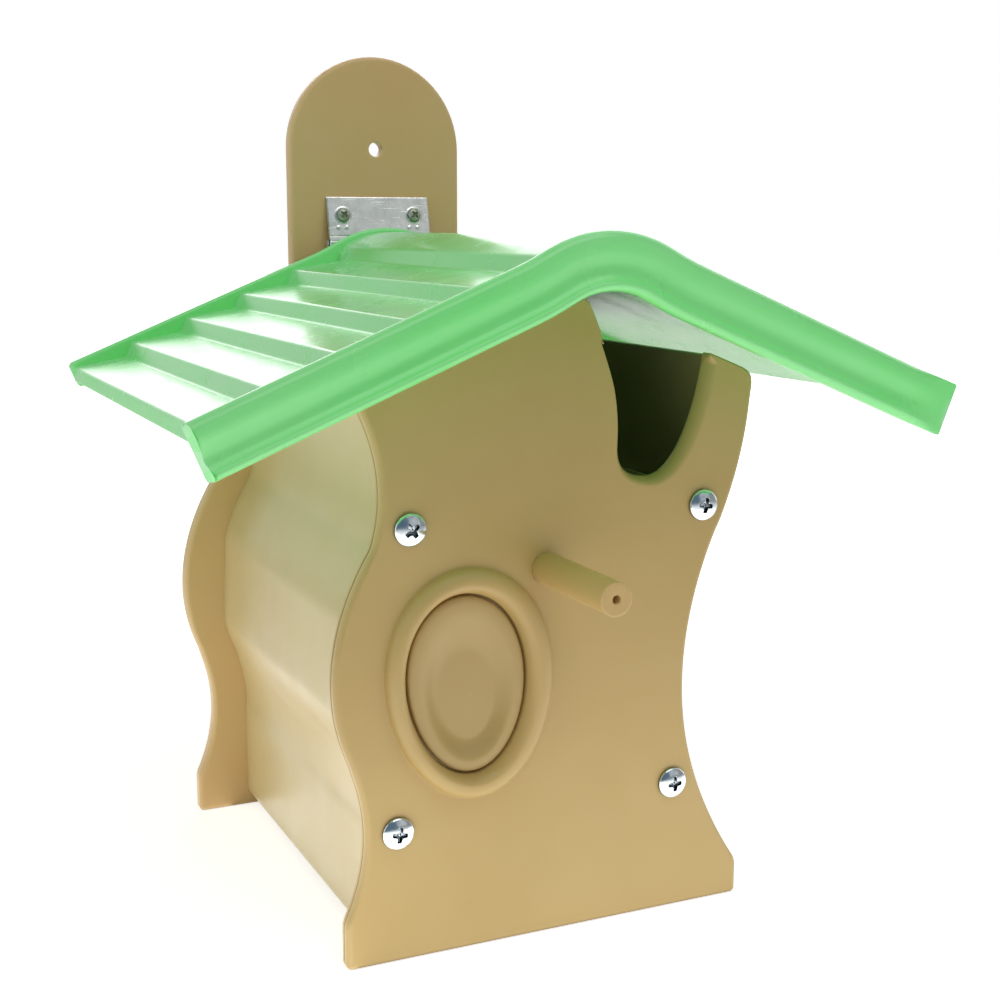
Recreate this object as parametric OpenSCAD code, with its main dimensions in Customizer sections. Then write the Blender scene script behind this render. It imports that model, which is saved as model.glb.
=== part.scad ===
// Plastic bird nest box with a lifting stepped roof.
// Left and right are as seen from the front. The front panel faces -Y, and Z is up.
// The origin is on the ground under the middle of the whole object.

/* [House] */
// Depth from the front panel's face to the back panel's rear face
house_depth = 150; // [130:1:180]
// Height of the panels' sloping top edges at the centre plane
ridge_height = 204.4; // [200:0.2:210]
// Fall of the gable and roof per unit of width
slope_share = 0.411; // [0.38:0.001:0.43]
// Thickness of the front and back panels
panel_t = 5; // [4:0.1:6]
// Rounding of the front panel's front edge
panel_round = 1.8; // [1:0.1:2.4]
// Corner radius at the panels' feet
foot_r = 2; // [1:0.1:4]

/* [Left edge of the front panel] */
// Half width at the left foot
left_foot_x = 65.3; // [62:0.1:68]
// Half width at the left waist
left_waist_x = 58.8; // [57:0.1:60]
// Height of the left waist
left_waist_z = 41; // [39:0.5:43]
// Curve radius of the left waist
left_waist_r = 55; // [50:1:65]
// Half width at the left bulge
left_bulge_x = 68.1; // [66.5:0.1:70]
// Height of the left bulge
left_bulge_z = 87; // [84:0.5:90]
// Curve radius under the left bulge
left_bulge_low_r = 55; // [50:1:62]
// Curve radius over the left bulge
left_bulge_high_r = 66; // [62:1:72]
// Half width at the left neck
left_neck_x = 52.9; // [52:0.1:54]
// Height of the left neck
left_neck_z = 143.7; // [141:0.1:146]
// Curve radius of the left neck
left_neck_r = 50; // [46:1:56]
// Height of the lower crease in the left side
crease_low_z = 62; // [60:0.5:64]
// Height of the upper crease in the left side
crease_high_z = 127; // [125:0.5:129]

/* [Right edge of the front panel] */
// Half width at the right foot
right_foot_x = 71.4; // [69:0.1:73]
// Half width at the right waist
right_waist_x = 49.5; // [48.5:0.1:50.5]
// Height of the right waist
right_waist_z = 75.5; // [73:0.5:78]
// Curve radius under the right waist
right_waist_low_r = 93; // [88:1:100]
// Curve radius over the right waist
right_waist_high_r = 109; // [104:1:114]
// Half width at the right horn
right_horn_x = 72.5; // [71:0.1:74]
// Height of the right horn's widest place
right_horn_z = 176; // [172:0.5:180]
// Curve radius of the right horn
right_horn_r = 113; // [108:1:118]
// Height where the right side turns from hollow to round
right_turn_z = 126; // [122:0.5:130]

/* [Entry] */
// Half-way line of the entry, from the centre plane
entry_x = 38.2; // [36:0.1:39]
// Height of the entry's lowest point at the front face
entry_z = 140.6; // [138:0.1:144]
// Distance from that point to the left edge where the edge turns up
entry_left = 13.3; // [12:0.1:14]
// Distance from that point to the right edge at the top
entry_right = 22.4; // [21:0.1:23]
// Height of the entry from its lowest point to the gable edge
entry_h = 45; // [44:0.5:50]
// Lean of the left edge over the entry's height
entry_lean = 7; // [5:0.1:8]
// Width of the bevel round the entry's right side
entry_bevel = 3.7; // [2:0.1:4]

/* [Egg ring and plug] */
// Egg centre, left of the centre plane
egg_x = 25.1; // [24:0.1:26]
// Egg centre height
egg_z = 84.6; // [82:0.1:87]
// Half width of the egg ring
egg_half_w = 27.3; // [25:0.1:28]
// Half height of the egg ring
egg_half_h = 35.8; // [34:0.1:37]
// Share by which the egg's upper end is fuller than the middle
egg_share = 0.07; // [0:0.01:0.1]
// Lean of the egg's long axis to the left, in degrees
egg_lean = 5; // [0:0.5:8]
// Width of the raised ring
ring_w = 7.6; // [7:0.1:9]
// Height of the raised ring over the panel's face
ring_h = 3.8; // [3:0.1:5]
// Gap between the ring and the plug
plug_gap = 0.8; // [0.4:0.1:1.2]
// Depth of the ledge that the plug sits on, behind the panel's face
ledge_d = 2; // [1.5:0.1:2.5]
// Width of that ledge
ledge_w = 3; // [2:0.1:4]
// Height of the plug's crown over the panel's face
plug_h = 2.6; // [2:0.1:2.9]
// Depth of the dish in the plug's face
dish_d = 2.2; // [1:0.1:2.5]
// Wall of the plug behind the dish
plug_wall = 2; // [1.5:0.1:2.5]
// Overlap of the plug's snap lip behind the panel
snap_lip = 0.6; // [0.3:0.1:1]

/* [Perch] */
// Perch diameter
perch_d = 10; // [8:0.1:12]
// Free length of the perch
perch_len = 44; // [40:0.5:60]
// Perch height above the ground
perch_z = 117.8; // [114:0.1:122]
// Diameter of the core hole through the perch
perch_core_d = 2.6; // [2:0.1:3]
// Head diameter of the screw that holds the perch
perch_head_d = 6; // [5:0.1:7]
// Head height of that screw
perch_head_h = 2; // [1.5:0.1:2.5]
// Length of that screw under its head
perch_screw_len = 20; // [14:0.5:30]

/* [Body shell] */
// Inset of the shell's outer face from the front panel's edge
shell_inset = 3.7; // [3:0.1:4]
// Shell wall
shell_t = 2.7; // [2.4:0.1:3]
// Half width of the shell where it meets the floor
shell_foot_x = 55.6; // [54:0.1:57]
// Outer half width at the top of the shell's walls
shell_top_x = 58.8; // [57:0.1:60]
// Height of the floor's underside above the ground
floor_z = 2; // [1:0.1:3]
// Outer radius where the walls turn into the floor
floor_r = 6; // [4:0.1:8]
// Outer radius of the screw bosses
boss_r = 4.2; // [3.9:0.1:4.6]

/* [Back panel] */
// Distance by which the back panel stands out past the front panel's edges
back_flange = 9; // [6:0.1:10]
// Half width of the hanging tongue
tongue_half_w = 33.3; // [31:0.1:36]
// Height of the tongue's top
tongue_top = 280.8; // [276:0.2:290]
// Diameter of the hanging hole
hang_hole_d = 5.2; // [4:0.1:7]

/* [House screws] */
// Distance from the panel's edge to the screw centres
screw_inset = 9.75; // [9.5:0.05:10]
// Height of the lower left screws
screw_low_left_z = 41.4; // [40:0.1:44]
// Height of the lower right screws
screw_low_right_z = 42.8; // [40:0.1:44]
// Height of the upper screws
screw_high_z = 133.3; // [131:0.1:135]
// Head diameter
head_d = 10; // [8:0.1:10.5]
// Head height
head_h = 2.6; // [2:0.1:2.8]
// Shank diameter
shank_d = 4; // [3.5:0.1:4.4]
// Length under the head
shank_len = 20; // [14:0.5:30]
// Radius of the cross recess in the head
cross_r = 2.3; // [1.5:0.1:2.5]
// Width of the slots of the cross recess
cross_w = 0.9; // [0.6:0.1:1.1]
// Depth of the cross recess
cross_d = 1.6; // [1:0.1:1.8]

/* [Roof] */
// Height of the roof's riser edges over the gable line
roof_clear = 14.6; // [13:0.1:17]
// Half width where the first riser starts
step_start = 17; // [15:0.1:18]
// Width from one riser to the next
step_w = 19.6; // [19:0.1:20]
// Number of treads on each side
step_count = 5; // [4:1:6]
// Height of a riser
riser_h = 5.1; // [4:0.1:6]
// Outward run of a riser
riser_run = 2.1; // [1.5:0.1:2.5]
// Radius of the round ridge cap
cap_r = 30; // [26:0.5:36]
// Thickness of the roof skin
skin_t = 2.5; // [2:0.1:3]
// Reach of the roof in front of the front panel's face
roof_front = 40; // [34:0.5:43]
// Distance from the roof's rear edge to the back panel's front face
roof_rear_gap = 9; // [8:0.1:12]
// Rise of the rims over the riser edges
rim_rise = 2; // [1.5:0.1:2.5]
// Half width of the fascia at its top
fascia_half_w = 118.3; // [117:0.1:122]
// Height of the fascia, square to its slope
fascia_h = 16.3; // [14:0.1:20]
// Thickness of the fascia
fascia_t = 3; // [2.5:0.1:4]
// Depth of the moulding on the fascia's face
ogee_d = 2.2; // [1:0.1:2.8]
// Radius of the fascia's crest
crest_r = 40; // [36:0.5:46]
// Half width of the fascia's round crest
crest_half_w = 21; // [18:0.5:24]
// Thickness of the rear rim
rim_t = 2.3; // [2:0.1:3]
// Height of the rear rim, square to its slope
rim_h = 9; // [8:0.1:11]
// Left end of the rest rib, from the centre plane
rest_left = 50; // [40:0.5:56]
// Right end of the rest rib, from the centre plane
rest_right = 12; // [6:0.5:14]
// Thickness of the rest rib
rest_t = 4; // [3:0.1:5]

/* [Hinge] */
// Width of the hinge leaves
leaf_w = 40; // [36:0.5:44]
// Thickness of the leaves
leaf_t = 1; // [0.8:0.1:1.2]
// Length of the fixed leaf from the pin's centre
leaf_len = 17; // [16:0.5:19]
// Length of the moving leaf from the pin's centre
moving_len = 16; // [15:0.5:18]
// Distance from the roof's crest down to the hinge pin
pin_drop = 6; // [5.5:0.1:6.5]
// Hinge pin diameter
pin_d = 2; // [1.8:0.1:2.2]
// Outer radius of the rolled knuckles
knuckle_r = 2.2; // [2.1:0.05:2.4]
// Distance between the two screws of a leaf
leaf_screw_pitch = 28; // [26:0.5:30]
// Distance from the pin to the screws
leaf_screw_up = 10.2; // [9.5:0.1:11]
// Head diameter of the leaf screws
leaf_head_d = 5.6; // [5:0.1:6]
// Head height of the leaf screws
leaf_head_h = 1.8; // [1.4:0.1:2]
// Shank diameter of the leaf screws
leaf_shank_d = 2.8; // [2.4:0.1:3]
// Length of the tongue screws under their heads
tongue_screw_len = 5; // [4:0.1:5.2]
// Length of the roof screws under their heads
roof_screw_len = 8; // [6:0.5:10]

/* [Hidden] */
$fn = 48;

// How far a cut runs past what it cuts
overrun = 1;
// Radial clearance of a screw in its pilot hole and of the pin in its knuckles
pin_clear = 0.05;
// Radial clearance of a screw in a panel's hole
hole_clear = 0.3;
// Rest clearance of the roof on the panel, and of the hinge barrel on the tongue
seat_clear = 0.2;
// Side clearance between two knuckles
knuckle_clear = 0.3;
// Height step between the points of the panels' curved edges
edge_step = 3;
// Places along the egg's outline, and layers of the front panel's rounded edge
egg_points = 64;
round_layers = 3;
// Strips in the fascia's moulding
ogee_strips = 8;

// Places along Y
front_y = (perch_len - house_depth) / 2;
front_inner_y = front_y + panel_t;
back_y = front_y + house_depth;
tongue_y = back_y - panel_t;
roof_rear_y = tongue_y - roof_rear_gap;
fascia_y = front_y - roof_front;

// Heights that follow the gable
function gable_z(x) = ridge_height - slope_share * abs(x);
function roof_z(x) = gable_z(x) + roof_clear;
shell_top_z = gable_z(shell_top_x);
slope_angle = atan(slope_share);

// Half width at height z of a bow that is x0 wide at height z0 and curves with radius r
function bow(x0, z0, r, z) = x0 + (z - z0) * (z - z0) / (2 * r);

function left_x(z) =
    z < crease_low_z ? min(left_foot_x, bow(left_waist_x, left_waist_z, left_waist_r, z))
    : z < left_bulge_z ? bow(left_bulge_x, left_bulge_z, -left_bulge_low_r, z)
    : z < crease_high_z ? bow(left_bulge_x, left_bulge_z, -left_bulge_high_r, z)
    : bow(left_neck_x, left_neck_z, left_neck_r, z);

function right_x(z) =
    z < right_waist_z ? min(right_foot_x, bow(right_waist_x, right_waist_z, right_waist_low_r, z))
    : z < right_turn_z ? bow(right_waist_x, right_waist_z, right_waist_high_r, z)
    : bow(right_horn_x, right_horn_z, -right_horn_r, z);

// Height at which an edge meets the gable line, found in a few steps
function meet_left(z, n) = n == 0 ? z : meet_left((z + gable_z(left_x(z))) / 2, n - 1);
function meet_right(z, n) = n == 0 ? z : meet_right((z + gable_z(right_x(z))) / 2, n - 1);
left_top_z = meet_left(ridge_height - slope_share * left_bulge_x, 24);
right_top_z = meet_right(ridge_height - slope_share * right_horn_x, 24);

// Outline of a panel: grow moves its sides outwards, and shrink draws all of it in
module panel_outline(grow, shrink, top) {
    left_n = ceil(left_top_z / edge_step);
    right_n = ceil(right_top_z / edge_step);
    out = grow - shrink;
    polygon(concat(
        [[-left_foot_x - out + foot_r, shrink]],
        [for (i = [0 : left_n]) let (z = foot_r + (left_top_z - foot_r) * i / left_n)
            [-left_x(z) - out, i == 0 ? z + shrink : i == left_n ? z - shrink : z]],
        top,
        [for (i = [right_n : -1 : 0]) let (z = foot_r + (right_top_z - foot_r) * i / right_n)
            [right_x(z) + out, i == 0 ? z + shrink : i == right_n ? z - shrink : z]],
        [[right_foot_x + out - foot_r, shrink]]));
}

// Prism of a drawn outline between two places along Y
module slab(y0, y1) {
    translate([0, y1, 0])
        rotate([90, 0, 0])
            linear_extrude(height = y1 - y0)
                children();
}

// Round bar along Y
module bar_y(x, z, r, y0, y1) {
    translate([x, y1, z])
        rotate([90, 0, 0])
            cylinder(h = y1 - y0, r = r);
}

// Cubic curve through four control points
function curve(p0, p1, p2, p3, n) =
    [for (i = [0 : n]) let (t = i / n, s = 1 - t)
        s * s * s * p0 + 3 * s * s * t * p1 + 3 * s * t * t * p2 + t * t * t * p3];

// Entry notch: share runs from 0 at the inner edge of its bevel to 1 at the panel's face
curve_points = 12;
bend_share = 0.55;
hip_share = 0.9;
bottom_bevel_share = 0.7;
module entry_outline(share) {
    bevel_in = entry_bevel * (1 - share);
    lift = bevel_in * bottom_bevel_share;
    low = [entry_x - bevel_in / 2, entry_z + lift];
    turn = [entry_x - entry_left, entry_z + entry_left];
    left_top = [turn[0] - entry_lean, entry_z + entry_h];
    right_top = [entry_x + entry_right - bevel_in, entry_z + entry_h];
    polygon(concat(
        [[left_top[0], roof_z(0)]],
        curve(left_top, left_top + [entry_lean * bend_share, -entry_h * (1 - bend_share) / 2],
              turn + [0, entry_left], turn, curve_points),
        curve(turn, turn - [0, entry_left * bend_share],
              low - [entry_left * bend_share, 0], low, curve_points),
        curve(low, low + [entry_right * (1 - bend_share), 0],
              [low[0] + entry_right * hip_share - bevel_in / 2, low[1] + entry_right * hip_share],
              right_top, curve_points),
        [[right_top[0], roof_z(0)]]));
}

// Point of the egg drawn in by inset, at angle a
function egg_point(inset, a) =
    let (u = (egg_half_w - inset) * (1 + egg_share * sin(a)) * cos(a), v = (egg_half_h - inset) * sin(a))
    [-egg_x + u * cos(egg_lean) - v * sin(egg_lean), egg_z + u * sin(egg_lean) + v * cos(egg_lean)];

module egg_outline(inset) {
    polygon([for (i = [0 : egg_points - 1]) egg_point(inset, 360 * i / egg_points)]);
}

// Closed solid through egg outlines: each level is [inset, Y]
module egg_stack(levels) {
    n = egg_points;
    m = len(levels);
    points = [for (level = levels) for (i = [0 : n - 1])
        let (p = egg_point(level[0], 360 * i / n)) [p[0], level[1], p[1]]];
    sides = [for (k = [0 : m - 2]) for (i = [0 : n - 1])
        [k * n + i, (k + 1) * n + i, (k + 1) * n + (i + 1) % n, k * n + (i + 1) % n]];
    first = [for (i = [0 : n - 1]) i];
    last = [for (i = [n - 1 : -1 : 0]) (m - 1) * n + i];
    polyhedron(points = points, faces = concat([first], sides, [last]));
}

// Screw centres: [x, z] seen from the front
screw_places = [
    [-left_x(screw_low_left_z) + screw_inset, screw_low_left_z],
    [right_x(screw_low_right_z) - screw_inset, screw_low_right_z],
    [-left_x(screw_high_z) + screw_inset, screw_high_z],
    [right_x(screw_high_z) - screw_inset, screw_high_z]];

// Front panel with the raised egg ring, the entry notch and the screw holes.
// Section of the ring: shares of its width and height.
ring_shares = [[0, 0], [0.06, 0.45], [0.2, 0.82], [0.42, 1], [0.68, 0.9], [0.88, 0.6], [1, 0.1]];
ring_levels = concat(
    [[0, front_y + panel_t / 2]],
    [for (s = ring_shares) [ring_w * s[0], front_y - ring_h * s[1]]]);

module front_panel() {
    gable_top = [[0, ridge_height]];
    color("#a88b52")
    difference() {
        union() {
            slab(front_y + panel_round, front_inner_y)
                panel_outline(0, 0, gable_top);
            for (i = [1 : round_layers]) {
                a = 90 * (i - 0.5) / round_layers;
                slab(front_y + panel_round * (1 - i / round_layers),
                     front_y + panel_round * (1 - (i - 1) / round_layers))
                    panel_outline(0, panel_round * (1 - cos(a)), gable_top);
            }
            egg_stack(ring_levels);
        }
        slab(front_y - overrun, front_inner_y + overrun)
            entry_outline(0);
        for (i = [1 : round_layers])
            slab(front_y - overrun, front_y + (panel_t - 1) * i / round_layers)
                entry_outline(1 - i / round_layers);
        slab(front_y - ring_h - overrun, front_y + ledge_d)
            egg_outline(ring_w);
        slab(front_y, front_inner_y + overrun)
            egg_outline(ring_w + ledge_w);
        for (p = screw_places)
            bar_y(p[0], p[1], shank_d / 2 + hole_clear, front_y - overrun, front_inner_y + overrun);
        bar_y(0, perch_z, perch_core_d / 2 + hole_clear, front_y - overrun, front_inner_y + overrun);
    }
}

// Egg-shaped plug: a dished face with a rounded crown, on a spigot with a snap lip
crown_shares = [[0.03, 0.6], [0.12, 0.9], [0.22, 1]];
dish_shares = [[0.34, 0.15], [0.5, 0.55], [0.7, 0.85], [0.9, 1]];

module egg_plug() {
    face_in = ring_w + plug_gap;
    spigot_in = ring_w + ledge_w + plug_gap / 2;
    back = front_inner_y + snap_lip + seat_clear;
    half = egg_half_w - face_in;
    color("#9d8150")
    difference() {
        egg_stack(concat(
            [[spigot_in + snap_lip, back + snap_lip], [spigot_in - plug_gap, back],
             [spigot_in - plug_gap, front_inner_y + seat_clear], [spigot_in, front_inner_y + seat_clear],
             [spigot_in, front_y + ledge_d], [face_in, front_y + ledge_d], [face_in, front_y]],
            [for (s = crown_shares) [face_in + half * s[0], front_y - plug_h * s[1]]],
            [for (s = dish_shares) [face_in + half * s[0], front_y - plug_h + dish_d * s[1]]]));
        slab(front_y - plug_h + dish_d + plug_wall, back + snap_lip + overrun)
            egg_outline(spigot_in + plug_wall);
    }
}

// Perch: a straight round bar with a core hole along its axis
module perch() {
    color("#9a8450")
    difference() {
        bar_y(0, perch_z, perch_d / 2, front_y - perch_len, front_y);
        bar_y(0, perch_z, perch_core_d / 2, front_y - perch_len - overrun, front_y + overrun);
    }
}

// Pan head screw along +Y with a cross recess, seated on the plane of its head at the origin
module screw(head_r, head_z, shank_r, len, slot_r, slot_w, slot_d) {
    dome = head_z / 2;
    difference() {
        rotate([-90, 0, 0])
            rotate_extrude()
                polygon([[0, -head_z], [head_r - dome, -head_z], [head_r - dome / 3, -head_z + dome / 3],
                         [head_r, -head_z + dome], [head_r, 0], [shank_r, 0],
                         [shank_r, len - shank_r], [0, len]]);
        for (turn = [0, 90])
            rotate([0, turn + 45, 0])
                translate([-slot_r, -head_z - overrun, -slot_w / 2])
                    cube([2 * slot_r, slot_d + overrun, slot_w]);
    }
}

module perch_screw() {
    color("#c8ccd0")
    translate([0, front_inner_y, perch_z])
        mirror([0, 1, 0])
            screw(perch_head_d / 2, perch_head_h, perch_core_d / 2 - pin_clear, perch_screw_len,
                  cross_r / 2, cross_w, cross_d / 2);
}

// U-shaped shell: floor, two curved walls and four screw bosses, in one moulding
function wall_limit(z) = shell_top_x + shell_inset / 2 * (shell_top_z - z) / (shell_top_z - screw_high_z);
function left_wall(z) = z < left_waist_z ? shell_foot_x : min(left_x(z) - shell_inset, wall_limit(z));
function right_wall(z) =
    min(z < left_waist_z ? shell_foot_x : wall_limit(z),
        bow(right_waist_x, right_waist_z, right_waist_low_r, min(z, right_waist_z)) - shell_inset
        + max(0, right_x(z) - right_waist_x) * (z > right_waist_z ? 1 : 0));

module shell_outline(inset, top) {
    n = ceil(shell_top_z / edge_step);
    z0 = floor_z + floor_r;
    r = floor_r - inset;
    turns = 6;
    polygon(concat(
        [for (i = [n : -1 : 0]) let (z = z0 + (shell_top_z - z0) * i / n)
            [inset - left_wall(z), i == n ? z + top : z]],
        [for (i = [1 : turns]) let (a = 180 + 90 * i / turns)
            [floor_r - shell_foot_x + r * cos(a), z0 + r * sin(a)]],
        [for (i = [0 : turns - 1]) let (a = 270 + 90 * i / turns)
            [shell_foot_x - floor_r + r * cos(a), z0 + r * sin(a)]],
        [for (i = [0 : n]) let (z = z0 + (shell_top_z - z0) * i / n)
            [right_wall(z) - inset, i == n ? z + top : z]]));
}

module body_shell() {
    color("#b5ad80")
    difference() {
        union() {
            slab(front_inner_y, tongue_y)
                difference() {
                    shell_outline(0, 0);
                    shell_outline(shell_t, overrun);
                }
            for (p = screw_places)
                bar_y(p[0], p[1], boss_r, front_inner_y, tongue_y);
        }
        for (p = screw_places)
            bar_y(p[0], p[1], shank_d / 2 + pin_clear, front_inner_y - overrun, tongue_y + overrun);
    }
}

// Back panel with its hanging tongue
tongue_turns = 24;
tongue_top_points =
    [for (i = [0 : tongue_turns]) let (a = 180 - 180 * i / tongue_turns)
        [tongue_half_w * cos(a), tongue_top - tongue_half_w + tongue_half_w * sin(a)]];

module back_panel() {
    shoulder = gable_z(tongue_half_w);
    color("#a3915c")
    difference() {
        slab(tongue_y, back_y)
            panel_outline(back_flange, 0,
                          concat([[-tongue_half_w, shoulder]], tongue_top_points, [[tongue_half_w, shoulder]]));
        bar_y(0, tongue_top - tongue_half_w, hang_hole_d / 2, tongue_y - overrun, back_y + overrun);
        for (p = screw_places) {
            bar_y(p[0], p[1], shank_d / 2 + hole_clear, tongue_y - overrun, back_y + overrun);
            bar_y(p[0], p[1], head_d / 2 + hole_clear, back_y - head_h - seat_clear, back_y + overrun);
        }
        hinge_place()
            for (side = [-1, 1])
                translate([side * leaf_screw_pitch / 2, leaf_t - knuckle_r, leaf_screw_up])
                    rotate([-90, 0, 0])
                        cylinder(h = tongue_screw_len, r = leaf_shank_d / 2 + pin_clear);
    }
}

module front_screws() {
    color("#c9ced6")
    for (p = screw_places)
        translate([p[0], front_y, p[1]])
            screw(head_d / 2, head_h, shank_d / 2, shank_len, cross_r, cross_w, cross_d);
}

module rear_screws() {
    color("#c9ced6")
    for (p = screw_places)
        translate([p[0], back_y - head_h - seat_clear, p[1]])
            mirror([0, 1, 0])
                screw(head_d / 2, head_h, shank_d / 2, shank_len, cross_r, cross_w, cross_d);
}

// Stepped line of the roof on its right side. Share runs from 0 on the top to 1 on the underside.
skin_angle = (atan2(riser_h, riser_run) + atan2(step_w * slope_share - riser_h, step_w - riser_run)) / 2;
skin_half = (atan2(riser_h, riser_run) - atan2(step_w * slope_share - riser_h, step_w - riser_run)) / 2;
skin_reach = skin_t / cos(skin_half);
cap_z = roof_z(step_start) - sqrt(cap_r * cap_r - step_start * step_start);
cap_turns = 8;
eave_x = step_start + step_count * step_w;

function half_line(share) =
    let (dx = -share * skin_reach * sin(skin_angle), dz = -share * skin_reach * cos(skin_angle),
         r = cap_r - share * skin_t, a1 = asin((step_start + dx) / r))
    concat(
        [for (i = [0 : cap_turns]) let (a = a1 * i / cap_turns) [r * sin(a), cap_z + r * cos(a)]],
        [for (i = [0 : step_count - 1]) let (x = step_start + i * step_w)
            each [if (i > 0) [x + dx, roof_z(x) + dz], [x + riser_run + dx, roof_z(x) - riser_h + dz]]],
        [[eave_x - share * skin_t, roof_z(eave_x) + dz]],
        [[eave_x - share * skin_t, roof_z(eave_x) - riser_h]]);

function both_sides(half) =
    concat([for (i = [len(half) - 1 : -1 : 1]) [-half[i][0], half[i][1]]], half);

function backwards(line) = [for (i = [len(line) - 1 : -1 : 0]) line[i]];

module under_skin() {
    mid = both_sides(half_line(1 / 2));
    polygon(concat([[mid[0][0], 0]], mid, [[mid[len(mid) - 1][0], 0]]));
}

// Line of the roof's rims: d is the distance below their top, square to the slope
crest_z = roof_z(0);
crest_turns = 10;

function rim_half(d, end_x) =
    concat(
        [for (i = [0 : crest_turns]) let (a = asin(crest_half_w / crest_r) * i / crest_turns)
            [(crest_r - d) * sin(a), crest_z - crest_r + (crest_r - d) * cos(a)]],
        [for (x = [crest_half_w, end_x])
            [x - d * sin(slope_angle), roof_z(x) + rim_rise - d * cos(slope_angle)]]);

module rim_band(d0, d1, end_x) {
    polygon(concat(both_sides(rim_half(d0, end_x)), backwards(both_sides(rim_half(d1, end_x)))));
}

// Roof: stepped skin, moulded fascia, rear rim, rest rib and hinge block in one moulding
module roof() {
    block_top = crest_z - pin_drop - knuckle_r - knuckle_clear;
    block_bottom = crest_z - pin_drop - moving_len;
    block_half = leaf_w / 2 - leaf_t;
    color("#84cc84")
    difference() {
        union() {
            slab(fascia_y + fascia_t / 2, roof_rear_y - rim_t / 2)
                polygon(concat(both_sides(half_line(0)), backwards(both_sides(half_line(1)))));
            slab(fascia_y, fascia_y + fascia_t)
                rim_band(0, fascia_h, fascia_half_w);
            for (i = [0 : ogee_strips - 1]) {
                share = (i + 1 / 2) / ogee_strips;
                slab(fascia_y - ogee_d * (1 + cos(360 * share)) / 2, fascia_y + fascia_t / 2)
                    rim_band(fascia_h * i / ogee_strips, fascia_h * (i + 1) / ogee_strips, fascia_half_w);
            }
            slab(roof_rear_y - rim_t, roof_rear_y)
                rim_band(0, rim_h, eave_x + riser_run);
            slab(front_y + (panel_t - rest_t) / 2, front_y + (panel_t + rest_t) / 2)
                intersection() {
                    under_skin();
                    polygon([[-rest_left, gable_z(rest_left) + seat_clear], [0, ridge_height + seat_clear],
                             [rest_right, gable_z(rest_right) + seat_clear],
                             [rest_right, crest_z], [-rest_left, crest_z]]);
                }
            slab(roof_rear_y - roof_screw_len - leaf_t, moving_face_y)
                polygon([[-block_half, block_bottom], [block_half, block_bottom],
                         [block_half, block_top], [-block_half, block_top]]);
            slab(roof_rear_y - roof_screw_len - leaf_t, roof_rear_y - rim_t / 2)
                intersection() {
                    under_skin();
                    polygon([[-block_half, block_bottom], [block_half, block_bottom],
                             [block_half, crest_z], [-block_half, crest_z]]);
                }
        }
        moving_place()
            for (side = [-1, 1])
                translate([side * leaf_screw_pitch / 2, leaf_t - knuckle_r, -leaf_screw_up])
                    rotate([90, 0, 0])
                        cylinder(h = roof_screw_len, r = leaf_shank_d / 2 + pin_clear);
    }
}

// Hinge: the pin lies along X. The fixed leaf leans back until its top edge meets the tongue.
pin_y = tongue_y - knuckle_r - seat_clear;
pin_z = crest_z - pin_drop;
leaf_reach = sqrt(leaf_len * leaf_len + (knuckle_r - leaf_t) * (knuckle_r - leaf_t));
leaf_lean = asin((knuckle_r + seat_clear) / leaf_reach) + atan((knuckle_r - leaf_t) / leaf_len);
moving_face_y = pin_y - knuckle_r;
knuckle_count = 5;
knuckle_w = leaf_w / knuckle_count;

module hinge_place() {
    translate([0, pin_y, pin_z])
        rotate([-leaf_lean, 0, 0])
            children();
}

module moving_place() {
    translate([0, pin_y, pin_z])
        children();
}

// Leaf that rises from the pin, with knuckles first, first + 2, ...
module leaf(len, first) {
    difference() {
        union() {
            translate([-leaf_w / 2, -knuckle_r, 0])
                cube([leaf_w, leaf_t, len]);
            for (i = [first : 2 : knuckle_count - 1])
                translate([(i - knuckle_count / 2) * knuckle_w + knuckle_clear / 2, 0, 0])
                    rotate([0, 90, 0])
                        cylinder(h = knuckle_w - knuckle_clear, r = knuckle_r);
        }
        translate([-leaf_w / 2 - overrun, 0, 0])
            rotate([0, 90, 0])
                cylinder(h = leaf_w + 2 * overrun, r = pin_d / 2 + pin_clear);
        for (i = [1 - first : 2 : knuckle_count - 1])
            translate([(i - knuckle_count / 2) * knuckle_w - knuckle_clear / 2, -2 * knuckle_r, -2 * knuckle_r])
                cube([knuckle_w + knuckle_clear, 4 * knuckle_r, 3 * knuckle_r + knuckle_clear]);
        for (side = [-1, 1])
            translate([side * leaf_screw_pitch / 2, -knuckle_r - overrun, leaf_screw_up])
                rotate([-90, 0, 0])
                    cylinder(h = leaf_t + 2 * overrun, r = leaf_shank_d / 2 + pin_clear);
    }
}

module hinge_fixed_leaf() {
    color("#b9c0b4")
    hinge_place()
        leaf(leaf_len, 0);
}

module hinge_moving_leaf() {
    color("#b9c0b4")
    moving_place()
        mirror([0, 0, 1])
            leaf(moving_len, 1);
}

module hinge_pin() {
    head = pin_d / 4;
    color("#aab0a8")
    translate([-leaf_w / 2 - head, pin_y, pin_z])
        rotate([0, 90, 0])
            rotate_extrude()
                polygon([[0, 0], [pin_d * 3 / 4, 0], [pin_d * 3 / 4, head], [pin_d / 2, head],
                         [pin_d / 2, head + leaf_w], [pin_d * 3 / 4, head + leaf_w],
                         [pin_d * 3 / 4, 2 * head + leaf_w], [0, 2 * head + leaf_w]]);
}

module tongue_screws() {
    color("#8f988c")
    hinge_place()
        for (side = [-1, 1])
            translate([side * leaf_screw_pitch / 2, -knuckle_r, leaf_screw_up])
                screw(leaf_head_d / 2, leaf_head_h, leaf_shank_d / 2, tongue_screw_len,
                      cross_r / 2, cross_w * 2 / 3, cross_d / 2);
}

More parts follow.
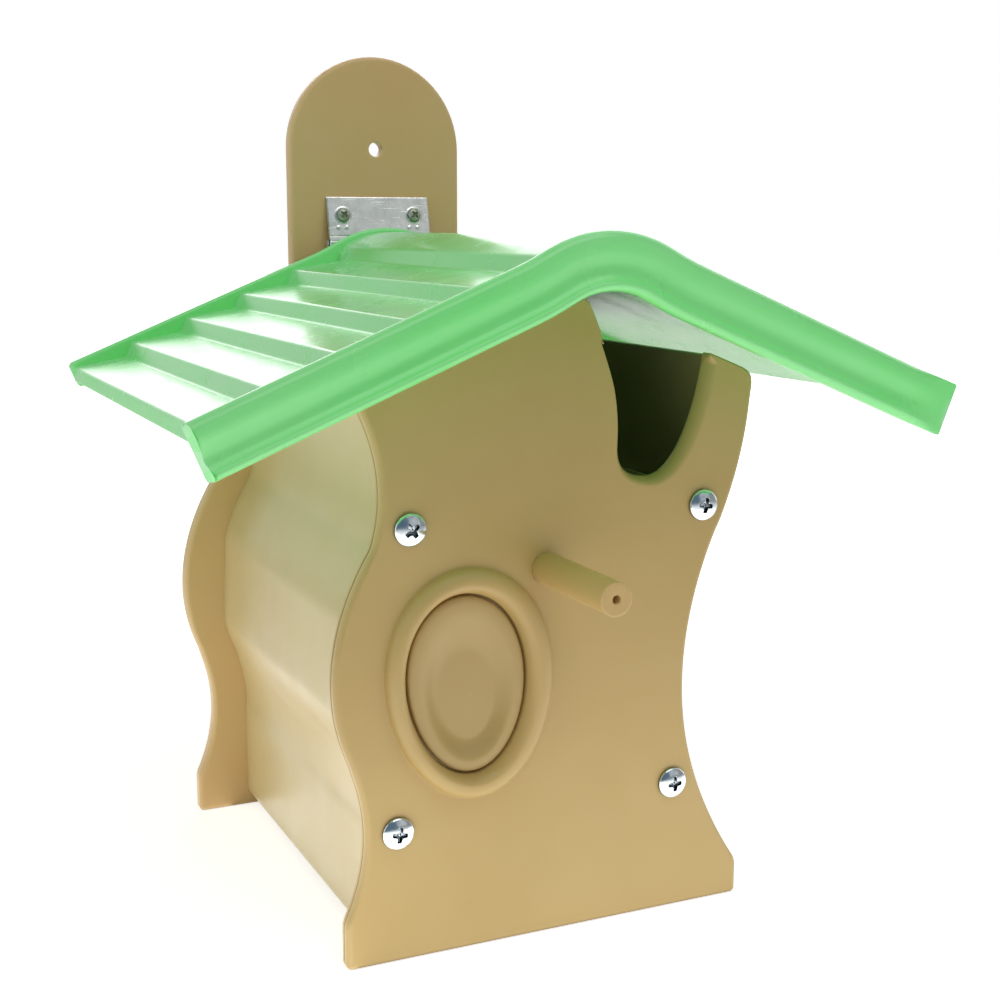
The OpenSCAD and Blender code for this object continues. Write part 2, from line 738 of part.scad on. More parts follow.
module roof_leaf_screws() {
    color("#8f988c")
    moving_place()
        for (side = [-1, 1])
            translate([side * leaf_screw_pitch / 2, leaf_t - knuckle_r, -leaf_screw_up])
                mirror([0, 1, 0])
                    screw(leaf_head_d / 2, leaf_head_h, leaf_shank_d / 2, roof_screw_len - leaf_t,
                          cross_r / 2, cross_w * 2 / 3, cross_d / 2);
}

front_panel();
egg_plug();
perch();
perch_screw();
body_shell();
back_panel();
front_screws();
rear_screws();
roof();
hinge_fixed_leaf();
hinge_moving_leaf();
hinge_pin();
tongue_screws();
roof_leaf_screws();
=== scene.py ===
import bmesh
import bpy
import numpy as np
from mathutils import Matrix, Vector
from mathutils.geometry import delaunay_2d_cdt


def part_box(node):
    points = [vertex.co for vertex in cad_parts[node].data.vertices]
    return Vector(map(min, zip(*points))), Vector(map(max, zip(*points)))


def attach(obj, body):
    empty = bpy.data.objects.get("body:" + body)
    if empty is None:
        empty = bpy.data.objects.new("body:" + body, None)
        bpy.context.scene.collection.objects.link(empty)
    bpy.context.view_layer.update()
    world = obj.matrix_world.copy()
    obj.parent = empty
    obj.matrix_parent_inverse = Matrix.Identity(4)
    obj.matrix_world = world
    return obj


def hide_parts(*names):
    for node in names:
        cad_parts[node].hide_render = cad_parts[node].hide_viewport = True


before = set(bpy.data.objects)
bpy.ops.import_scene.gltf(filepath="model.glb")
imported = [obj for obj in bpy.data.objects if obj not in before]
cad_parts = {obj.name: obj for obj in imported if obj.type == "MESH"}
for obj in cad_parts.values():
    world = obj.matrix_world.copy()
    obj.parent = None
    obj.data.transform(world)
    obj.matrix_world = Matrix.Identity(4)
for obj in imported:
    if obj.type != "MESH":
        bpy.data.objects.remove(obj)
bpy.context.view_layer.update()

# Body shell: a floor and two bowed walls in one U, injection moulded in tan polypropylene.
# Its skin is satin and holds a soft shine at a low angle. Four bosses along its depth take the
# screws of the panels, which cut their own thread. Sizes are in millimetres here and below.
shell_low, shell_high = (np.array(corner) * 1000 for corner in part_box("body_shell"))
front_inner_y, tongue_y = shell_low[1], shell_high[1]
shell_top, floor_under = shell_high[2], shell_low[2]
shell_inset, shell_wall, shell_foot, floor_round = 3.7, 2.7, 55.6, 6.0
shell_top_half, boss_radius, pilot_radius = 58.8, 4.2, 2.05
ridge_height, slope, foot_step = 204.4, 0.411, 41.0
screw_inset, low_left_z, low_right_z, high_z = 9.75, 41.4, 42.8, 133.3


def gable(x):
    """Height of the panels' sloping top edge: the ridge height less 0.411 for each unit of width."""
    return ridge_height - slope * np.abs(x)


def bow(wide, height, radius, z):
    """Half width of a bow: wide at its turning height, plus (z - height)² / (2 radius)."""
    return wide + (z - height) ** 2 / (2 * radius)


def left_edge(z):
    """Half width of the front panel on its left: foot and waist, two halves of the bulge, neck."""
    return np.select([z < 62, z < 87, z < 127],
                     [np.minimum(65.3, bow(58.8, 41, 55, z)), bow(68.1, 87, -55, z),
                      bow(68.1, 87, -66, z)], bow(52.9, 143.7, 50, z))


def right_edge(z):
    """Half width of the front panel on its right: foot, the long waist in two halves, horn."""
    return np.select([z < 75.5, z < 126],
                     [np.minimum(71.4, bow(49.5, 75.5, 93, z)), bow(49.5, 75.5, 109, z)],
                     bow(72.5, 176, -113, z))


def eased(edge, z, reach=1.5):
    """Mean of an edge's half width over heights within the reach, which rounds its creases."""
    return np.mean([edge(z + step) for step in np.linspace(-reach, reach, 9)], 0)


def joined(lines, reaches, counts, closed=True):
    """Lines joined end to end. Each stops short of a corner by the reach there, and the curve
    (1-t)² a + 2t(1-t) corner + t² b rounds it. Points lie at shares (1 - cos) / 2 of a line, close
    together at its ends. Second result: a point's line number plus its share of the way along."""
    def at(line, distance):
        far = np.concatenate([[0], np.cumsum(np.hypot(*np.diff(line, axis=0).T))])
        distance = np.where(np.asarray(distance) < 0, far[-1] + distance, distance)
        return np.stack([np.interp(distance, far, line[:, 0]), np.interp(distance, far, line[:, 1])], -1)

    points, marks = [], []
    lines = [np.asarray(line, float) for line in lines]
    for number, (line, count) in enumerate(zip(lines, counts)):
        before, after = reaches[number - 1], reaches[number]
        length = np.sum(np.hypot(*np.diff(line, axis=0).T))
        share = (1 - np.cos(np.linspace(0, np.pi, count))) / 2
        run = at(line, before + (length - before - after) * share)
        last = number == len(lines) - 1
        if after > 0:
            t = np.linspace(0, 1, 8)[1:-1, None]
            b = at(lines[(number + 1) % len(lines)], after)
            turn = (1 - t) ** 2 * run[-1] + 2 * t * (1 - t) * line[-1] + t ** 2 * b
            points += [run, turn]
            marks += [number + share, np.full(len(turn), number + 1.0)]
        else:
            keep = count if last and not closed else count - 1
            points.append(run[:keep])
            marks.append(number + share[:keep])
    return np.concatenate(points), np.concatenate(marks)


def drawn_in(outline, inset):
    """A closed outline that runs clockwise from the front, moved into its material by the inset:
    along (n1 + n2) / (1 + n1·n2), with n1 and n2 the inward normals of the two sides at a point."""
    side = np.roll(outline, -1, 0) - outline
    normal = np.stack([side[:, 1], -side[:, 0]], 1) / np.hypot(*side.T)[:, None]
    before = np.roll(normal, 1, 0)
    mitre = (normal + before) / (1 + np.sum(normal * before, 1))[:, None]
    return outline + mitre * np.reshape(inset, (-1, 1))


def net(points, closed=True):
    """Quads over a grid of points in rows; a closed net joins the last column to the first."""
    rows, columns = points.shape[:2]
    left = np.arange(rows * columns).reshape(rows, columns)
    right = np.roll(left, -1, 1)
    if not closed:
        left, right = left[:, :-1], right[:, :-1]
    quads = np.stack([left[:-1], left[1:], right[1:], right[:-1]], -1)
    return points.reshape(-1, 3), quads.reshape(-1, 4)


def ribbon(loops, places):
    """Wall through closed loops of (x, z): loop j stands at places[j] along Y."""
    loops = np.stack(loops)
    places = np.stack([np.broadcast_to(place, loops.shape[1]) for place in places])
    return net(np.stack([loops[..., 0], places, loops[..., 1]], -1))


def triangles(loops, pitch=6.0):
    """Delaunay triangles between closed loops, over a square grid of points of the given pitch:
    those whose middle has an odd number of loop edges to its right."""
    sizes = [len(loop) for loop in loops]
    ends = np.cumsum(sizes)
    start = np.concatenate(loops)
    after = np.arange(1, len(start) + 1)
    after[ends - 1] = ends - sizes
    stop = start[after]
    extent = zip(start.min(0), start.max(0))
    columns, rows = (np.arange(low + pitch / 2, high, pitch) for low, high in extent)
    grid = np.stack(np.meshgrid(columns, rows), -1).reshape(-1, 2)
    nearest = np.hypot(*(grid[:, None] - start).transpose(2, 0, 1)).min(1)
    points = [Vector(p) for p in np.concatenate([start, grid[nearest > pitch / 4]])]
    spots, _, faces, *_ = delaunay_2d_cdt(points, list(enumerate(after.tolist())), [], 0, 1e-6)
    spots, faces = np.array([p[:] for p in spots]), np.array(faces)
    middle = spots[faces].mean(1)[:, None]
    rise = np.where(stop[:, 1] == start[:, 1], 1, stop[:, 1] - start[:, 1])
    crossing = start[:, 0] + (middle[..., 1] - start[:, 1]) * (stop[:, 0] - start[:, 0]) / rise
    spans = (start[:, 1] > middle[..., 1]) != (stop[:, 1] > middle[..., 1])
    inside = np.sum(spans & (crossing > middle[..., 0]), 1) % 2 == 1
    kept, faces = np.unique(faces[inside], return_inverse=True)
    return spots[kept], faces.reshape(-1, 3)


def flat(loops, y):
    """Flat face at the place y between loops of (x, z)."""
    spots, faces = triangles(loops)
    return np.stack([spots[:, 0], np.full(len(spots), y), spots[:, 1]], 1), faces


def board(outline, rows, holes=()):
    """Solid through rows of (inset, y) of an outline, closed by flat faces and pierced by holes."""
    loops = [drawn_in(outline, inset) for inset, _ in rows]
    first, last = rows[0][1], rows[-1][1]
    return [ribbon(loops, [y for _, y in rows]), flat([loops[0], *holes], first),
            flat([loops[-1], *holes], last)] + [ribbon([hole, hole], [first, last]) for hole in holes]


def circle(x, z, radius, count=64):
    """Points (x + r cos a, z + r sin a)."""
    a = np.linspace(0, 2 * np.pi, count, endpoint=False)
    return np.stack([x + radius * np.cos(a), z + radius * np.sin(a)], 1)


def bore(x, z, rows):
    """Round wall through rows of (radius, y) about an axis along Y."""
    return ribbon([circle(x, z, radius) for radius, _ in rows], [y for _, y in rows])


def in_scene(name, data):
    """New object in the scene for a mesh, lamp or camera."""
    thing = bpy.data.objects.new(name, data)
    bpy.context.scene.collection.objects.link(thing)
    return thing


def piece(name, parts, finish, body, slot, *nodes, sharp=38):
    """One object from parts in millimetres: doubles merged, normals outwards, edges past the sharp
    angle kept crisp. It rides on the body and stands for the CAD nodes."""
    starts = np.cumsum([0] + [len(points) for points, _ in parts])
    points = np.concatenate([points for points, _ in parts]) / 1000
    faces = [face for (_, some), start in zip(parts, starts) for face in (some + start).tolist()]
    mesh = bpy.data.meshes.new(name)
    mesh.from_pydata(points.tolist(), [], faces)
    shape = bmesh.new()
    shape.from_mesh(mesh)
    bmesh.ops.remove_doubles(shape, verts=shape.verts, dist=2e-6)
    bmesh.ops.recalc_face_normals(shape, faces=shape.faces)
    shape.to_mesh(mesh)
    shape.free()
    mesh.shade_smooth()
    mesh.set_sharp_from_angle(angle=np.radians(sharp))
    mesh.materials.append(finish)
    thing = in_scene(name, mesh)
    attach(thing, body)
    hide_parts(*nodes)
    return thing


def add(tree, kind, settings={}, inputs={}):
    """Adds a node with its settings. An input given as a socket is linked, one given as a node is
    linked to that node's first output, and any other is set."""
    node = tree.nodes.new("ShaderNode" + kind)
    for name, value in settings.items():
        setattr(node, name, value)
    for name, value in inputs.items():
        value = value.outputs[0] if isinstance(value, bpy.types.Node) else value
        if isinstance(value, bpy.types.NodeSocket):
            tree.links.new(value, node.inputs[name])
        else:
            node.inputs[name].default_value = value
    return node


def blank(kind, name):
    """New material or world, and its emptied node tree."""
    made = kind.new(name)
    made.use_nodes = True
    made.node_tree.nodes.clear()
    return made, made.node_tree


def linear(code):
    """sRGB hex as linear light: c / 12.92 up to 0.04045, above it ((c + 0.055) / 1.055) ^ 2.4."""
    srgb = np.array([int(code[i:i + 2], 16) for i in (1, 3, 5)]) / 255
    return (*np.where(srgb <= 0.04045, srgb / 12.92, ((srgb + 0.055) / 1.055) ** 2.4).tolist(), 1.0)


def moulded_plastic(name, tone, pale, roughness, peel, inside=1.0):
    """Injection-moulded polypropylene: an even colour that drifts a little towards a paler one over
    about 70 mm, paler along worn edges, with faint scuffs and a fine orange peel of the given height
    in millimetres. Peel has 0.7 mm cells, drawn coarser than the real 0.2 mm so that they show.
    Faces that look towards the middle plane, inside the box, take painted shade: their colour is multiplied
    by the inside factor."""
    finish, tree = blank(bpy.data.materials, name)
    place = add(tree, "TexCoord").outputs["Object"]
    drift = add(tree, "TexNoise", {}, {"Vector": place, "Scale": 1 / 0.07, "Detail": 3})
    drifted = add(tree, "MapRange", {}, {0: drift, 1: 0.35, 2: 0.7, 3: 0, 4: 0.28})
    pointed = add(tree, "NewGeometry").outputs["Pointiness"]
    edge = add(tree, "MapRange", {}, {0: pointed, 1: 0.505, 2: 0.56, 3: 0, 4: 0.45})
    along = add(tree, "Mapping", {}, {"Vector": place, "Rotation": (0.3, 0.6, 0.2), "Scale": (700, 700, 26)})
    streak = add(tree, "TexNoise", {}, {"Vector": along, "Scale": 1, "Detail": 2})
    scuff = add(tree, "MapRange", {}, {0: streak, 1: 0.7, 2: 0.82, 3: 0, 4: 0.02})
    worn = add(tree, "Math", {"operation": "MAXIMUM"}, {0: edge, 1: scuff})
    pales = add(tree, "Math", {"operation": "ADD", "use_clamp": True}, {0: drifted, 1: worn})
    colour = add(tree, "Mix", {"data_type": "RGBA"}, {0: pales, 6: linear(tone), 7: linear(pale)})
    # Painted shade: faces inside the box, which look towards the middle plane, have their colour multiplied
    # by the inside factor.
    spot = add(tree, "SeparateXYZ", {}, {0: place})
    facing = add(tree, "SeparateXYZ", {}, {0: add(tree, "TexCoord").outputs["Normal"]})
    outward = add(tree, "Math", {"operation": "MULTIPLY"}, {0: spot.outputs["X"], 1: facing.outputs["X"]})
    painted_inside_shade = add(tree, "MapRange", {}, {0: outward, 1: -0.01, 2: 0, 3: inside, 4: 1})
    colour = add(tree, "Mix", {"data_type": "RGBA", "blend_type": "MULTIPLY"},
                 {0: 1.0, 6: colour.outputs[2], 7: painted_inside_shade})
    cells = add(tree, "TexNoise", {}, {"Vector": place, "Scale": 1 / 0.0007, "Detail": 2})
    cloud = add(tree, "TexNoise", {}, {"Vector": place, "Scale": 1 / 0.012, "Detail": 4})
    rough = add(tree, "MapRange", {}, {0: cloud, 1: 0.3, 2: 0.7, 3: roughness - 0.04, 4: roughness + 0.05})
    rougher = add(tree, "Math", {"operation": "ADD"}, {0: rough, 1: scuff})
    bump = add(tree, "Bump", {}, {"Height": cells, "Strength": 0.5, "Distance": peel / 1000})
    skin = add(tree, "BsdfPrincipled", {},
               {"Base Color": colour.outputs[2], "Roughness": rougher, "IOR": 1.49, "Normal": bump})
    add(tree, "OutputMaterial", {}, {"Surface": skin})
    return finish


def wall_limit(z):
    """Half width that the walls' tops lean in to, so that they pass beside the upper bosses."""
    return shell_top_half + shell_inset / 2 * (shell_top - z) / (shell_top - high_z)


def left_wall(z):
    """Outer half width of the left wall: straight at the foot, then the panel's edge less the inset."""
    return np.where(z < foot_step, shell_foot, np.minimum(left_edge(z) - shell_inset, wall_limit(z)))


def right_wall(z):
    """Outer half width of the right wall, held within the foot's width below the waist."""
    return np.minimum(np.where(z < foot_step, shell_foot, wall_limit(z)), right_edge(z) - shell_inset)


screw_places = [(side * (edge(z) - screw_inset), z) for side, edge, z in
                ((-1, left_edge, low_left_z), (1, right_edge, low_right_z),
                 (-1, left_edge, high_z), (1, right_edge, high_z))]
floor_turn = floor_under + floor_round
rise = np.linspace(floor_turn, shell_top, 240)
left_out = np.stack([-eased(left_wall, rise), rise], 1)
right_out = np.stack([eased(right_wall, rise), rise], 1)
quarter = np.radians(np.linspace(0, 90, 10))


def floor_corner(side, radius):
    """Quarter circle where a wall turns into the floor, from the wall down."""
    x = side * (shell_foot - floor_round + radius * np.cos(quarter))
    return np.stack([x, floor_turn - radius * np.sin(quarter)], 1)


inner = floor_round - shell_wall
inner_left, inner_right, outer_left, outer_right = (
    floor_corner(side, radius) for radius in (inner, floor_round) for side in (-1, 1))
shell_lines = [left_out, [left_out[-1], left_out[-1] + (shell_wall, 0)], left_out[::-1] + (shell_wall, 0),
               inner_left, [inner_left[-1], inner_right[-1]], inner_right[::-1],
               right_out - (shell_wall, 0), [right_out[-1] - (shell_wall, 0), right_out[-1]],
               right_out[::-1], outer_right, [outer_right[-1], outer_left[-1]], outer_left[::-1]]
shell_reaches = [0.6, 0.6, 0, 0, 0, 0, 0.6, 0.6, 0, 0, 0, 0]
shell_counts = [120, 4, 120, 8, 20, 8, 120, 4, 120, 10, 20, 10]
shell_outline, _ = joined(shell_lines, shell_reaches, shell_counts)
shell_rows = [(0.8, 0), (0.3, 0), (0.09, 0.09), (0, 0.3), (0, 1.0)]
shell_parts = board(shell_outline, [(inset, front_inner_y + y) for inset, y in shell_rows]
                    + [(inset, tongue_y - y) for inset, y in shell_rows[::-1]])
for x, z in screw_places:
    shell_parts += board(circle(x, z, boss_radius)[::-1], [(0, front_inner_y + 0.05), (0, tongue_y - 0.05)],
                         [circle(x, z, pilot_radius)])
# The shell's faces inside the box are painted darker, to 0.4 of their colour, as shade.
shell_plastic = moulded_plastic("shell_tan_polypropylene", "#cbb57f", "#dbc894", 0.34, 0.012, 0.4)
piece("walls_and_floor", shell_parts, shell_plastic, "house", "tan_plastic", "body_shell")

# Back panel: a flat board moulded in the same tan polypropylene, 9 mm wider than the front all
# round, with a tongue that rises over the roof. The house hangs on a nail through the tongue's
# hole, and four screws from behind hold the board to the shell.
back_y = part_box("back_panel")[1].y * 1000
tongue_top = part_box("back_panel")[1].z * 1000
back_flange, tongue_half, hang_radius, back_round, rear_round = 9.0, 33.3, 2.6, 1.5, 0.4
head_radius, head_height, head_clear, shank_clear = 5.0, 2.6, 0.3, 2.3


def meeting(edge):
    """Height where an edge meets the gable line, by halving the error many times."""
    z = 175.0
    for _ in range(30):
        z = (z + gable(edge(z))) / 2
    return z


left_top, right_top = float(meeting(left_edge)), float(meeting(right_edge))
left_rise = np.linspace(0, left_top, 300)
right_rise = np.linspace(0, right_top, 300)
left_side = np.stack([-eased(left_edge, left_rise), left_rise], 1)
right_side = np.stack([eased(right_edge, right_rise), right_rise], 1)[::-1]
tongue_arc = np.radians(np.linspace(180, 0, 90))
tongue_centre = tongue_top - tongue_half
tongue = np.concatenate([[[-tongue_half, gable(tongue_half)]],
                         np.stack([tongue_half * np.cos(tongue_arc),
                                   tongue_centre + tongue_half * np.sin(tongue_arc)], 1),
                         [[tongue_half, gable(tongue_half)]]])
back_left, back_right = left_side - (back_flange, 0), right_side + (back_flange, 0)
back_outline, _ = joined([back_left, [back_left[-1], tongue[0]], tongue, [tongue[-1], back_right[0]],
                          back_right, [back_right[-1], back_left[0]]],
                         [4.0, 2.5, 2.5, 4.0, 2.0, 2.0], [130, 16, 120, 16, 130, 40])
half_turn = np.radians(np.linspace(0, 90, 7))
back_rows = [(back_round + 0.5, tongue_y), (back_round, tongue_y)]
back_rows += [(back_round * (1 - np.cos(a)), tongue_y + back_round * (1 - np.sin(a)))
              for a in half_turn[::-1][1:]]
back_rows += [(rear_round * (1 - np.cos(a)), back_y - rear_round * (1 - np.sin(a))) for a in half_turn]
back_rows += [(rear_round + 0.5, back_y)]
back_loops = [drawn_in(back_outline, inset) for inset, _ in back_rows]
hang_rim = [(0.9, 0), (0.5, 0), (0.15, 0.15), (0, 0.5)]
hang_rows = [(hang_radius + wider, tongue_y + deep) for wider, deep in hang_rim]
hang_rows += [(hang_radius + wider, back_y - deep) for wider, deep in hang_rim[::-1]]
sink_y, sink_radius, lip = back_y - head_height - 0.2, head_radius + head_clear, 0.5
sink_rows = [(shank_clear + lip, tongue_y), (shank_clear, tongue_y), (shank_clear, sink_y),
             (shank_clear + lip, sink_y), (sink_radius, sink_y), (sink_radius, back_y - 0.2),
             (sink_radius + 0.2, back_y), (sink_radius + lip, back_y)]
narrow = [circle(x, z, shank_clear + lip) for x, z in screw_places]
sunk = [circle(x, z, sink_radius + lip) for x, z in screw_places]
back_parts = [ribbon(back_loops, [y for _, y in back_rows]), bore(0, tongue_centre, hang_rows),
              flat([back_loops[0], circle(0, tongue_centre, hang_rows[0][0]), *narrow], tongue_y),
              flat([back_loops[-1], circle(0, tongue_centre, hang_rows[-1][0]), *sunk], back_y)]
back_parts += [bore(x, z, sink_rows) for x, z in screw_places]
board_plastic = moulded_plastic("board_tan_polypropylene", "#d6b077", "#dfcb97", 0.42, 0.014)
piece("hanging_board", back_parts, board_plastic, "house", "tan_plastic", "back_panel")

# Front panel: a 5 mm board moulded in tan polypropylene with a raised egg-shaped ring, an entry cut
# into its gable with a soft bevel on the right, and a seam line of the mould round its sides.
# Four screws hold it to the shell's bosses.
front_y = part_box("perch")[1].y * 1000
seam_back, seam_depth, seam_half, perch_z, perch_hole = 3.2, 0.9, 0.5, 117.8, 1.6
entry = dict(x=38.2, z=140.6, left=13.3, right=22.4, height=45.0, lean=7.0, bevel=3.7)
egg = dict(x=-25.1, z=84.6, half_w=27.3, half_h=35.8, full=0.07, lean=np.radians(5))
ring_w, ring_h, ring_crest, ledge_w, ledge_d, inner_shift = 7.6, 4.2, 4.4, 3.0, 2.0, 1.3


def cubic(p0, p1, p2, p3, count=60):
    """(1-t)³ p0 + 3 (1-t)² t p1 + 3 (1-t) t² p2 + t³ p3."""
    t = np.linspace(0, 1, count)[:, None]
    return (1 - t) ** 3 * p0 + 3 * (1 - t) ** 2 * t * p1 + 3 * (1 - t) * t ** 2 * p2 + t ** 3 * p3


def entry_line(bevel):
    """Edge of the entry drawn into the opening by the bevel: a steep left side, a round bottom and
    a right side that opens outwards, as three cubic curves, cut off at the gable."""
    e = entry
    low = np.array([e["x"] - bevel / 2, e["z"] + 0.7 * bevel])
    turn = np.array([e["x"] - e["left"], e["z"] + e["left"]])
    left = np.array([turn[0] - e["lean"], e["z"] + e["height"]])
    right = np.array([e["x"] + e["right"] - bevel, e["z"] + e["height"]])
    hip = low + (0.9 * e["right"] - bevel / 2, 0.9 * e["right"])
    line = np.concatenate([
        cubic(left + (-0.6 * e["lean"], 12), left + (0, 4), left + (0.35 * e["lean"], -4), left),
        cubic(left, left + (0.55 * e["lean"], -0.225 * e["height"]), turn + (0, e["left"]), turn)[1:],
        cubic(turn, turn - (0, 0.55 * e["left"]), low - (0.55 * e["left"], 0), low)[1:],
        cubic(low, low + (0.45 * e["right"], 0), hip, right)[1:]])
    return line[line[:, 1] < gable(line[:, 0])]


def egg_line(inset, count=144):
    """Egg drawn in by the inset: ((w - inset)(1 + 0.07 sin a) cos a, (h - inset) sin a), leaning, and
    up to the ring's width moved over to the left with the inset."""
    a = np.linspace(0, 2 * np.pi, count, endpoint=False)
    u = (egg["half_w"] - inset) * (1 + egg["full"] * np.sin(a)) * np.cos(a)
    v = (egg["half_h"] - inset) * np.sin(a)
    c, s = np.cos(egg["lean"]), np.sin(egg["lean"])
    aside = inner_shift * np.clip(inset / ring_w, 0, 1)
    return np.stack([egg["x"] - aside + u * c - v * s, egg["z"] + u * s + v * c], 1)


notch = entry_line(entry["bevel"])
ridge = np.array([0, ridge_height])
front_outline, mark = joined(
    [left_side, [left_side[-1], ridge], [ridge, notch[0]], notch, [notch[-1], right_side[0]], right_side,
     [right_side[-1], left_side[0]]],
    [3.5, 1.5, 0.7, 1.0, 3.8, 2.0, 2.0], [150, 20, 10, 130, 12, 150, 40])
# The edge is rounded by 1.8 mm down both sides and at the foot, hardly along the gable, and runs out
# into the entry's bevel from the bottom of the notch to its right side.
round_in = np.interp(mark, [0, 0.97, 1, 3, 3.27, 3.5, 3.75, 3.98, 4, 4.98, 5.03, 7],
                     [1.8, 1.8, 0.4, 0.4, 0.5, 2.4, 3.4, 3.4, 0.8, 0.8, 1.8, 1.8])
round_deep = np.interp(mark, [0, 0.97, 1, 3, 3.27, 3.5, 3.98, 4, 4.98, 5.03, 7],
                       [1.8, 1.8, 0.4, 0.4, 0.6, 3.4, 3.9, 0.8, 0.8, 1.8, 1.8])
round_from = np.interp(mark, [0, 3.2, 3.5, 3.98, 4, 7], np.radians([0, 0, 34, 34, 0, 0]))
seam = np.interp(mark, [0, 0.02, 0.93, 1, 5, 5.05, 5.98, 6, 7], [0, 1, 1, 0, 0, 1, 1, 0, 0])
inner_y, seam_y = front_inner_y, front_y + seam_back
panel_rows = [(inset, inner_y - y) for inset, y in shell_rows[:4]]
panel_rows += [(share * seam_depth * seam, seam_y + up * seam_half)
               for share, up in ((0, 1), (0.7, 0.5), (1, 0), (0.7, -0.5), (0, -1))]
deep_rows = np.where(round_deep > seam_back - seam_half, front_y + round_deep, 0)
panel_rows = [(inset, np.where(deep_rows != 0, np.maximum(y, deep_rows), y)) for inset, y in panel_rows]
for share in np.linspace(0, 1, 9):
    turn = round_from + (np.pi / 2 - round_from) * share
    inset = round_in * (1 - np.cos(turn) / np.cos(round_from))
    depth = round_deep * (1 - (np.sin(turn) - np.sin(round_from)) / (1 - np.sin(round_from)))
    panel_rows.append((inset, front_y + depth))
panel_rows.append((round_in + 0.15, front_y))
panel_loops = [drawn_in(front_outline, inset) for inset, _ in panel_rows]
rise_out = cubic((0, 0), (0.2, 2.6), (2.0, ring_h), (ring_crest, ring_h), 12)
fall_in = cubic((ring_crest, ring_h), (5.7, ring_h), (6.8, 3.2), (ring_w, 0.4), 10)
ledge_y = front_y + ledge_d
ring_rows = [(-0.9, front_y), (-0.35, front_y), (-0.1, front_y - 0.1)]
ring_rows += [(w, front_y - h) for w, h in np.concatenate([rise_out[1:], fall_in[1:]])]
ring_rows += [(ring_w, ledge_y - 0.2), (ring_w + 0.2, ledge_y), (ring_w + 0.7, ledge_y),
              (ring_w + ledge_w, ledge_y), (ring_w + ledge_w, inner_y)]
ring_loops = [egg_line(inset) for inset, _ in ring_rows]
panel_holes = [(x, z, shank_clear) for x, z in screw_places] + [(0, perch_z, perch_hole)]
hole_loops = [circle(x, z, radius + lip) for x, z, radius in panel_holes]
front_parts = [ribbon(panel_loops, [y for _, y in panel_rows]),
               ribbon(ring_loops, [y for _, y in ring_rows]),
               flat([panel_loops[0], ring_loops[-1], *hole_loops], inner_y),
               flat([panel_loops[-1], ring_loops[0], *hole_loops], front_y)]
for x, z, radius in panel_holes:
    wide = radius + lip
    front_parts.append(bore(x, z, [(wide, front_y), (radius, front_y), (radius, inner_y), (wide, inner_y)]))
panel_plastic = moulded_plastic("panel_tan_polypropylene", "#bc9e62", "#d1b77e", 0.4, 0.014)
piece("face_board", front_parts, panel_plastic, "house", "tan_plastic", "front_panel")

# Egg plug: the egg inside the ring, a separate tan moulding with a rounded crown and a shallow dish
# in its face. It stands on the ring's ledge, and a snap lip holds it behind the panel.
plug_gap, plug_h, crown_w, dish_d, dish_rim, dish_slope, dish_drop = 0.9, 1.1, 2.6, 3.0, 0.97, 0.42, 5.5
face_in, spigot_in, hollow_y = ring_w + plug_gap, ring_w + ledge_w + 0.4, -49.8
spigot_wall, spigot_end, snap_w = 2.0, -46.6, 0.8
hollow_share = np.linspace(0, 1, 5)[:, None, None]
egg_centre = egg_line(0).mean(0)
hollow = egg_centre + hollow_share * (egg_line(spigot_in + spigot_wall) - egg_centre)
crown = cubic((0, 0), (0, 0.7), (0.9, plug_h), (crown_w, plug_h), 10)
plug_rows = [(spigot_in + spigot_wall, spigot_end), (spigot_in + 0.6, spigot_end),
             (spigot_in - snap_w, spigot_end - 0.6), (spigot_in - snap_w, spigot_end - 1.2),
             (spigot_in, spigot_end - 1.2), (spigot_in, ledge_y), (face_in, ledge_y), (face_in, front_y)]
plug_rows += [(face_in + w, front_y - h) for w, h in crown[1:]]
crest_loop = egg_line(face_in + crown_w)
dish_share = np.linspace(1, 0, 40)[1:]
dip = np.clip((dish_rim - dish_share) / dish_slope, 0, 1)
dip = dish_d * dip * dip * (3 - 2 * dip)
drop = -dish_drop * (1 - dish_share ** 2)
dish = egg_centre + dish_share[:, None, None] * (crest_loop - egg_centre)
dish[..., 1] += drop[:, None]
plug_loops = list(hollow) + [egg_line(inset) for inset, _ in plug_rows] + list(dish)
plug_places = [hollow_y] * len(hollow) + [y for _, y in plug_rows] + list(front_y - plug_h + dip)
plug_plastic = moulded_plastic("plug_tan_polypropylene", "#b49860", "#cbb47e", 0.4, 0.014)
piece("egg_inlay", [ribbon(plug_loops, plug_places)], plug_plastic, "house", "tan_plastic", "egg_plug")

# Perch: a straight round bar, extruded in tan polypropylene and sawn to length, with a core hole.
# A small zinc-plated screw from inside the house holds it to the front panel.
perch_radius, core_radius, tip_y = 5.0, 1.3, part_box("perch")[0].y * 1000


def turned(profile, count=64):
    """Lathe shape round the Y axis: (r cos a, y, r sin a) for each (r, y) of the profile."""
    a = np.linspace(0, 2 * np.pi, count, endpoint=False)
    r, y = np.asarray(profile, float).T[..., None]
    return net(np.stack(np.broadcast_arrays(r * np.cos(a), y, r * np.sin(a)), -1))


def placed(part, at, lean=0.0, flip=False):
    """A part turned round X by the lean, in degrees, and moved to its place. Flip turns it about."""
    points, faces = part
    if flip:
        points = points * (-1, -1, 1)
    c, s = np.cos(np.radians(lean)), np.sin(np.radians(lean))
    x, y, z = points.T
    return np.stack([x, y * c - z * s, y * s + z * c], 1) + at, faces


bar = np.array([(core_radius, front_y), (4.7, front_y), (4.93, front_y - 0.1), (perch_radius, front_y - 0.4),
                (perch_radius, front_y - 1.2), (perch_radius, tip_y + 1.2), (perch_radius, tip_y + 0.35),
                (4.94, tip_y + 0.1), (4.75, tip_y), (4.2, tip_y), (core_radius + 0.3, tip_y),
                (core_radius + 0.12, tip_y + 0.03), (core_radius, tip_y + 0.2), (core_radius, front_y)])
bar_points, bar_faces = turned(bar, 96)
